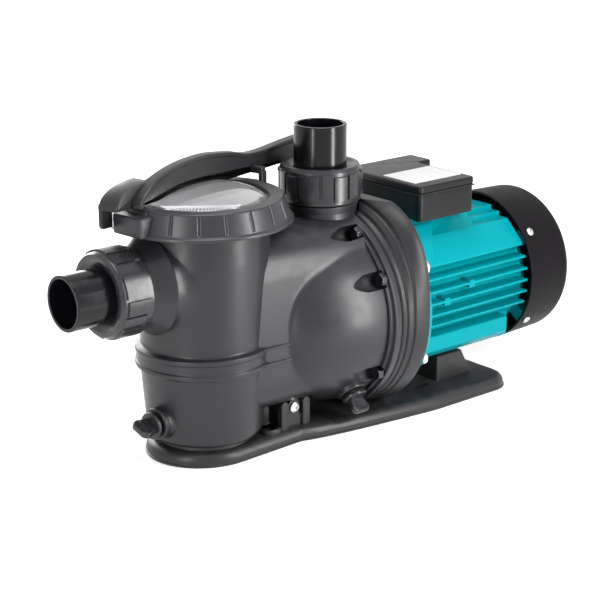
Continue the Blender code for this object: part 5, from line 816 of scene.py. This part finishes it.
def bracket_skin():
    """Round at the front; towards the motor the upper half becomes a superellipse with a flat top."""
    turn = round_turn(240) + 0.01
    c, s = np.cos(turn), np.sin(turn)
    rows = []
    for x in np.concatenate([np.linspace(BRACKET[0], 0.173, 40), np.linspace(0.1735, BRACKET[1], 18)]):
        share = (x - BRACKET[0]) / (BRACKET[1] - BRACKET[0])
        swell = share**2 * (3 - 2 * share)
        radius = 0.1 + 0.004 * swell
        power = 2 + 0.8 * swell
        scale = (np.abs(c) ** power + np.abs(s) ** power) ** (-1 / power)
        tall = radius + (CROWN + 0.005 - radius) * swell
        y = np.where(s > 0, radius * c * scale, radius * c)
        z = np.where(s > 0, np.minimum(tall * s * scale, CROWN), radius * s)
        dip = 1 - 0.012 * np.exp(-(((x - BRACKET[0]) / 0.0008) ** 2))
        for groove in BRACKET_GROOVES:
            dip = dip - 0.018 * np.exp(-(((x - groove) / 0.0013) ** 4))
        rows.append(np.stack([y * dip, z * dip, np.full_like(y, x)], axis=1))
    return shell(placed(np.stack(rows), *SHAFT))


spigot = [(0, 0.1493), (0.0787, 0.1493, 0.001), (0.0787, 0.1513), (0.0747, 0.1513), (0.0747, 0.1553)]
spigot += [(0.0787, 0.1553), (0.0787, 0.162), (0, 0.162)]
seat = [(0, 0.14), (0.0168, 0.14), (0.0168, 0.1547), (0.01, 0.1547), (0.01, 0.168), (0.017, 0.169)]
seat += [(0.014, 0.176), (0.0173, 0.176), (0.0173, 0.198), (0, 0.198)]
bracket_cuts = [
    turned(seat, 64, *SHAFT),
    turned(oblong(0.03, 0.1693, 0.078, 0.197), 96, *SHAFT),
    rod(0.037, 0.1997, 0.25, 96, DISCHARGE),
]
for degrees in CASING_BOLTS:
    bracket_cuts.append(rod(BOLT_BORE, 0.1493, 0.1725, 24, round_shaft(BOLT_CIRCLE, degrees), TO_REAR))
for degrees in MOTOR_BOLTS:
    bracket_cuts.append(rod(BOLT_BORE, 0.1735, 0.2, 24, round_shaft(MOTOR_CIRCLE, degrees), TO_REAR))
bracket_cuts.append(block((0.15, -0.15, -0.05), UNDER_MOTOR, 0.001, 0.0005))
dark_bracket = moulded("dark_bracket_moulding", (0.016, 0.016, 0.018), 0.4, 0.35, 0.04, 0.1, 0.3)
skins = [bracket_skin(), turned(spigot, 128, *SHAFT)]
piece("bracket", dark_bracket, skins, "motor_bracket", bracket_cuts)

# Bolts and screws: stainless hexagon bolts deep in the casing pockets, their steel painted near black as
# painted shade of the pockets, bright ones behind the motor flange, and round-headed socket screws in the
# base's clevises.


def brushed_group():
    """Fine turning marks: noise squeezed along the piece, as a wandering gloss and a faint tone."""
    result = {"Colour": "Color", "Roughness": "Float"}
    group, given, result = new_group("turned_metal", {"Colour": "Color"}, result)
    spot = node(group, "TexCoord").outputs["Object"]
    drawn = node(group, "Mapping", [("Vector", spot), ("Scale", (2600.0, 300.0, 300.0))]).outputs["Vector"]
    shade = ranged(group, noise(group, spot, 260.0, 3.0), 0, 1, 0.72, 1.12)
    toned = node(group, "HueSaturation", [("Color", given["Colour"]), ("Value", shade)])
    gloss = ranged(group, noise(group, drawn, 1.0, 3.0), 0, 1, 0.16, 0.42)
    group.links.new(toned.outputs["Color"], result["Colour"])
    group.links.new(gloss, result["Roughness"])
    return group


turned_metal = brushed_group()


def metal(name, colour):
    """A bare metal that takes tone and gloss from the turning marks."""
    return grouped(name, turned_metal, {"Colour": (*colour, 1)}, {"Metallic": 1.0})


def hex_skin(radius, head, at, direction):
    """Hexagon head: the smaller of the hexagon's reach at each angle and a cone that chamfers it."""
    turn = round_turn(96)
    flat = radius * np.cos(np.pi / 6) / np.cos((turn + np.pi / 6) % (np.pi / 3) - np.pi / 6)
    height = np.array([0.0, 0.0, head * 0.6, head * 0.8, head * 0.92, head, head])[:, None]
    cone = radius * np.array([0.0, 1.0, 1.0, 0.985, 0.93, 0.84, 0.0])[:, None]
    return shell(placed(swept(np.minimum(flat, cone), height, turn), at, direction))


def round_head_skins(radius, head, shank, length, at, direction):
    """Domed screw head on a shank that runs back from it."""
    top = [(0, head), (radius * 0.55, head * 0.96, 0.001), (radius * 0.98, head * 0.5, 0.0008), (radius, 0.0)]
    return [turned([*top, (0, 0.0)], 48, at, direction), rod(shank, head * 0.4, -length, 24, at, direction)]


SHANK = 0.004
steel = metal("stainless_steel_finish", (0.74, 0.74, 0.72))
# Casing bolt steel: painted near black as painted shade of the deep pockets the bolts sit in.
pocket_shaded_steel = metal("painted_shade_steel_finish", (0.07, 0.07, 0.075))
for i, degrees in enumerate(CASING_BOLTS, 1):
    at = round_shaft(BOLT_CIRCLE, degrees, 0.1472)
    bolt = [hex_skin(0.0068, 0.0055, at, TO_FRONT), rod(SHANK, -0.002, 0.024, 32, at, TO_REAR)]
    piece(f"casing_hex_{i}", pocket_shaded_steel, bolt, f"casing_bolt_{i}")
for i, degrees in enumerate(MOTOR_BOLTS, 1):
    at = round_shaft(MOTOR_CIRCLE, degrees, 0.1959)
    bolt = [hex_skin(0.0076, 0.006, at, TO_REAR), rod(SHANK, -0.002, 0.022, 32, at, TO_FRONT)]
    piece(f"motor_hex_{i}", steel, bolt, f"motor_bolt_{i}")
for i, side in enumerate((-1, 1), 1):
    at = (CLEVIS_X, side * (CLEVIS_Y[1] + 0.0003), SCREW_HEIGHT)
    out = (0, side, 0)
    socket = [rod(0.0026, 0.0012, 0.01, 6, at, out)]
    head = round_head_skins(0.0055, 0.003, 0.003, 0.015, at, out)
    piece(f"base_socket_screw_{i}", steel, head, f"base_screw_{i}", socket)

# Inner pieces: shaft, bearings, rotor, stator, seal, impeller, diffuser and O-rings. They keep their
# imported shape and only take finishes: steel, iron, copper, ceramic, resin and rubber.


def finish(look, *names):
    """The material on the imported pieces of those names."""
    for name in names:
        mesh = frame["nodes"][name].data
        mesh.materials.clear()
        mesh.materials.append(look)


rubber = moulded("black_rubber_finish", (0.012, 0.012, 0.012), 0.62, 0.4, 0.15, 0.15, 0.3)
resin = moulded("dark_resin_finish", (0.09, 0.09, 0.1), 0.45, 0.3, 0.05, 0.1, 0.5)
ceramic = moulded("seal_ceramic_finish", (0.78, 0.76, 0.7), 0.25, 0.08, 0.0, 0.02, 0.5)
iron = metal("laminated_iron_finish", (0.24, 0.24, 0.25))
copper = metal("copper_wire_finish", (0.72, 0.33, 0.16))
finish(steel, "shaft", "front_bearing", "rear_bearing")
finish(iron, "rotor_core", "stator_core")
finish(copper, "stator_windings")
finish(ceramic, "seal_seat")
finish(resin, "impeller", "diffuser", "seal_head", "terminal_block", "capacitor")
finish(rubber, "casing_oring", "lid_oring", "suction_oring", "discharge_oring", "strainer_drain_oring")
finish(rubber, "volute_drain_oring", "water_slinger", "terminal_box_gasket", "motor_pad")

# Fan: black moulded wheel on the shaft behind the end shield. Its wide disc carries a hub and seven
# flat blades that blow air along the fins.

FAN = (0.3753, 0.3783, 0.3933)
FAN_BLADES = 7
wheel = [(0.0072, FAN[0]), (0.0625, FAN[0], 0.0006), (0.0625, FAN[1], 0.0006), (0.014, FAN[1])]
wheel += [(0.014, FAN[2]), (0.0072, FAN[2])]
blade = block((0.0125, -0.001, FAN[1] - 0.001), (0.064, 0.001, FAN[2]), 0.0003, 0.0003)
fan_skins = [turned(wheel, 96, *SHAFT)]
fan_skins += [carried(spun(blade, 360 / FAN_BLADES * i), *SHAFT) for i in range(FAN_BLADES)]
piece("fan_wheel", black_satin, fan_skins, "cooling_fan", body="rotor")

# Motor housing: teal painted casting with a round front flange, a stepped roof, a slanting panel and six
# cooling fins on each side, and a rail and keel below; it carries the terminal box on a pedestal.

MOTOR = (0.1876, 0.355)
ROOF = ((0.0196, 0.0688), (0.031, 0.0642), (0.0424, 0.0593))
PANEL = sum(ROOF[-1])
FINS = 6
FIN_TOP = 0.036
FIN_PITCH = 0.0118
FIN_HALF = 0.0016
FIN_ROOT = 0.06
FIN_TIP = 0.0735
RAIL_END = 0.337
NUBS = ((0.2425, 3), (0.276, 2))


def mirrored(skin):
    """A skin on the near side carried over to the far side."""
    return skin[0] * (1, -1, 1), skin[1]


side = [(-ROOF[0][0], ROOF[0][1], 0.0008)]
for (before, _), (half, height) in zip(ROOF, ROOF[1:]):
    side += [(-before, height, 0.0006), (-half, height, 0.0008)]
side.append((FIN_TOP + 2 * FIN_HALF - PANEL, FIN_TOP + 2 * FIN_HALF, 0.0006))
for i in range(FINS):
    z = FIN_TOP - i * FIN_PITCH
    root, tip = -np.sqrt(FIN_ROOT**2 - z**2), -np.sqrt(FIN_TIP**2 - z**2)
    if i > 0:
        side.append((root, z + FIN_HALF, 0.0016))
    side += [(tip, z + 0.8 * FIN_HALF, 0.001), (tip, z - 0.8 * FIN_HALF, 0.001)]
    side.append((root, z - FIN_HALF, 0.0016))
side += [(-0.0487, -0.035, 0.001), (-0.063, -0.0366, 0.0012), (-0.063, -0.052, 0.003)]
side.append((-0.046, -0.064, 0.003))
outline = rounded(side + [(-y, *rest) for y, *rest in reversed(side)], steps=5)
front = [(0, MOTOR[0]), (0.1, MOTOR[0], 0.001), (0.1, 0.1956, 0.0025), (0, 0.1956)]
crown, foot = PANEL - 0.0002 - 0.0772, PANEL - 0.0002 - 0.045
pedestal = [(-crown, 0.0772, 0.001), (-foot, 0.045), (foot, 0.045), (crown, 0.0772, 0.001)]
step = [(0.194, -0.006), (0.231, -0.006, 0.001), (0.254, 0.0318, 0.003), (0.254, 0.036), (0.194, 0.036)]
step = extruded(step, -0.003, 0.0008, 0.0004, (0, -0.0575, SHAFT_Z + PANEL - 0.0575), (0, -1, 1))
nubs = []
for x, fin in NUBS:
    z = SHAFT_Z + FIN_TOP - fin * FIN_PITCH
    nubs.append(block((x - 0.004, -0.0725, z - 0.0045), (x + 0.004, -0.056, z + 0.003), 0.001, 0.001))
housing_skins = [
    extruded(outline, 0.193, MOTOR[1], 0.0005, *SHAFT),
    turned(front, 192, *SHAFT),
    extruded(pedestal, 0.1996, 0.3066, 0.0004, *SHAFT),
    *(step, mirrored(step), *nubs, *map(mirrored, nubs)),
]
housing_cuts = [rod(0.0543, 0.17, 0.36, 96, *SHAFT)]
for degrees in MOTOR_BOLTS:
    housing_cuts.append(rod(BOLT_BORE, 0.18, 0.21, 24, round_shaft(MOTOR_CIRCLE, degrees), TO_REAR))
rail_end = block((RAIL_END, -0.1, SHAFT_Z - 0.072), (0.363, -0.046, SHAFT_Z - 0.0352))
housing_cuts += [rail_end, mirrored(rail_end)]
teal = moulded("teal_paint_finish", (0.0, 0.27, 0.31), 0.36, 0.12, 0.0, 0.05, 0.08)
piece("motor_case", teal, housing_skins, "motor_housing", housing_cuts)

# Fan cover: matte black cup over the rear end, with round rim, slotted back and four bright screws
# that hold it to the lugs of the teal end shield.

COVER = (0.3563, 0.4173)
COVER_RADIUS = 0.078
COVER_SLITS = 7
SLIT_PITCH = 0.0155
SLIT_REACH = 0.053
SCREW_X = 0.3663
COVER_SCREWS = [t for angle in (36.4, -36.4) for t in (angle, 180 - angle)]
wall, back = COVER_RADIUS - 0.0025, COVER[1] - 0.0025
cover = [(0, COVER[1]), (COVER_RADIUS - 0.002, COVER[1], 0.01), (COVER_RADIUS, COVER[0], 0.0008)]
cover += [(wall, COVER[0], 0.0008), (wall - 0.002, back, 0.0075), (0, back)]
cover_slits = []
for i in range(COVER_SLITS):
    z = (i - COVER_SLITS // 2) * SLIT_PITCH
    slit = slot_plan(2 * np.sqrt(SLIT_REACH**2 - z**2), 0.008) + (0, z)
    cover_slits.append(extruded(slit, COVER[1] - 0.01, COVER[1] + 0.01, 0, *SHAFT))
shield = [(0.0176, 0.3553), (0.0605, 0.3553, 0.001), (0.0605, 0.3633, 0.001), (0.0176, 0.3633)]
shield_skins = [turned(shield, 128, *SHAFT)]
screw_holes = []
for i, degrees in enumerate(COVER_SCREWS, 1):
    out = round_shaft(1.0, degrees) - ON_SHAFT
    at = (SCREW_X, 0, SHAFT_Z) + out * (COVER_RADIUS + 0.0003)
    screw_holes.append(rod(0.0023, -0.013, 0.01, 24, at, out))
    lug = block((-0.006, -0.007, -0.0195), (0.006, 0.007, -0.0031), 0.001, 0.0006)
    cross = [block((-0.0026, -0.0005, 0.0014), (0.0026, 0.0005, 0.006), 0.0002, 0.0001)]
    cross.append(block((-0.0005, -0.0026, 0.0014), (0.0005, 0.0026, 0.006), 0.0002, 0.0001))
    lug, *cross = [carried(skin, at, out) for skin in (lug, *cross)]
    shield_skins.append(lug)
    head = round_head_skins(0.0042, 0.0025, 0.002, 0.011, at, out)
    piece(f"cover_screw_{i}", steel, head, f"fan_cover_screw_{i}", cross)
matte_black = moulded("matte_black_moulding", (0.005, 0.004, 0.005), 0.48, 0.4, 0.01, 0.16, 0.1)
hood = [turned(cover, 160, *SHAFT, 8)]
piece("fan_hood", matte_black, hood, "fan_cover", cover_slits + screw_holes)
piece("end_shield", teal, shield_skins, "rear_end_shield", screw_holes)

# Terminal box: black L-shaped tray and lid with rounded edges, a bare white plate on the lid and a
# cable gland on the far side.

BOX_X = (0.224, 0.298, 0.318)
BOX_Y = (-0.05, 0.031, 0.062)
TRAY = (0.1865, 0.2125)
LID = (0.2141, 0.2216)
BOX_CORNER = 0.004
GLAND = (0.238, BOX_Y[2], 0.1995)
PLATE_LOW = (0.23, -0.036)
PLATE_HIGH = (0.294, 0.01)


def box_plan(inset, corner):
    """L-shaped plan of the box, drawn in by an inset."""
    x0, x1, x2 = BOX_X[0] + inset, BOX_X[1] - inset, BOX_X[2] - inset
    y0, y1, y2 = BOX_Y[0] + inset, BOX_Y[1] + inset, BOX_Y[2] - inset
    spots = ((x0, y0), (x1, y0), (x1, y1), (x2, y1), (x2, y2), (x0, y2))
    return [(x, y, corner) for x, y in spots]


recess_low = (BOX_X[0] - 0.01, BOX_Y[0] + 0.008, TRAY[0] - 0.01)
recess_high = (BOX_X[0] + 0.003, BOX_Y[2] - 0.008, TRAY[1] + 0.01)
tray_cuts = [
    extruded(box_plan(0.005, 0.002), TRAY[0] + 0.003, TRAY[1] + 0.02),
    block(recess_low, recess_high, 0.0008, 0.0004),
    rod(0.0078, -0.01, 0.01, 32, GLAND, TO_SIDE),
]
box_black = moulded("box_black_moulding", (0.008, 0.008, 0.009), 0.38, 0.4, 0.08, 0.1, 0.24)
tray = [extruded(box_plan(0.0006, BOX_CORNER), *TRAY, 0.0008)]
piece("box_tray", box_black, tray, "terminal_box", tray_cuts)
box_lid = [extruded(box_plan(0.0, BOX_CORNER), *LID, 0.002, steps=5)]
piece("box_lid", box_black, box_lid, "terminal_box_lid")
plate = oblong(*PLATE_LOW, *PLATE_HIGH, 0.002)
white_plate = moulded("white_plate_finish", (0.8, 0.8, 0.8), 0.35, 0.04, 0.0, 0.02, 0.5)
plate = [extruded(plate, LID[1] + 0.00005, LID[1] + 0.0004, 0.0001)]
piece("bare_plate", white_plate, plate)
finish(black_satin, "cable_gland")

# Studio: pale floor that keeps the shadow, white surroundings, two tall strip lamps that draw upright
# highlights on the round walls, a soft lamp above, a fill behind and the camera at the photograph's angle.


def seen_plainly(tree):
    """1 for rays from the camera, off gloss or through glass, otherwise 0."""
    path = node(tree, "LightPath").outputs
    glow = math(tree, "MAXIMUM", path["Is Camera Ray"], path["Is Glossy Ray"])
    return math(tree, "MAXIMUM", glow, path["Is Transmission Ray"])


REACH = 6
FLOOR_Z = -0.0005
ground = [(x * REACH, y * REACH, FLOOR_Z) for x, y in ((-1, -1), (1, -1), (1, 1), (-1, 1))]
floor_mesh = bpy.data.meshes.new("floor")
floor_mesh.from_pydata(ground, [], [(0, 1, 2, 3)])
floor = bpy.data.objects.new("floor", floor_mesh)
scene.collection.objects.link(floor)
pale = {"Base Color": (0.92, 0.92, 0.92, 1), "Emission Color": (1, 1, 1, 1)}
paper, tree, inputs = material("floor_paper", {**pale, "Roughness": 0.9, "Specular IOR Level": 0.0})
spot = node(tree, "TexCoord").outputs["Object"]
away = node(tree, "VectorMath", [(0, spot)], operation="LENGTH").outputs["Value"]
lift = math(tree, "MULTIPLY", seen_plainly(tree), ranged(tree, away, 0.5, 1.4, 0.55, 1.0))
tree.links.new(lift, inputs["Emission Strength"])
floor_mesh.materials.append(paper)
floor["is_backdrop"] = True

world = bpy.data.worlds.new("studio")
scene.world = world
world.use_nodes = True
tree = world.node_tree
sky = tree.nodes["Background"].inputs
sky["Color"].default_value = (1, 1, 1, 1)
tree.links.new(ranged(tree, seen_plainly(tree), 0, 1, 0.14, 1.0), sky["Strength"])


def stood(name, data, at, toward):
    """A lamp or camera set at a place to face a point."""
    obj = bpy.data.objects.new(name, data)
    back = np.asarray(at, float) - np.asarray(toward, float)
    obj.matrix_world = [[*row, 0] for row in axes_along(back).T.tolist()] + [[*at, 1]]
    scene.collection.objects.link(obj)
    return obj


MIDDLE = (0.13, 0.0, 0.12)
for name, at, size, watts in (
    ("right_strip", (0.3, -0.57, 0.28), (0.13, 0.56), 4.8),
    ("left_strip", (-0.53, -0.22, 0.26), (0.08, 0.52), 1.8),
    ("top", (0.1, -0.15, 1.7), (0.8, 0.8), 15),
    ("rear_fill", (0.2, 1.15, 0.42), (0.7, 0.6), 9),
):
    lamp = bpy.data.lights.new(name, "AREA")
    lamp.shape = "RECTANGLE"
    lamp.size, lamp.size_y = size
    lamp.energy = watts
    stood(name, lamp, at, MIDDLE)

EYE = (-0.8804, -1.1852, 0.606)
AIM = (0.12559, 0.0, 0.10911)
lens = bpy.data.cameras.new("camera")
lens.lens = 99.35
lens.sensor_width = 36.0
scene.camera = stood("camera", lens, EYE, AIM)
scene.view_settings.view_transform = "Standard"

low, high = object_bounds()
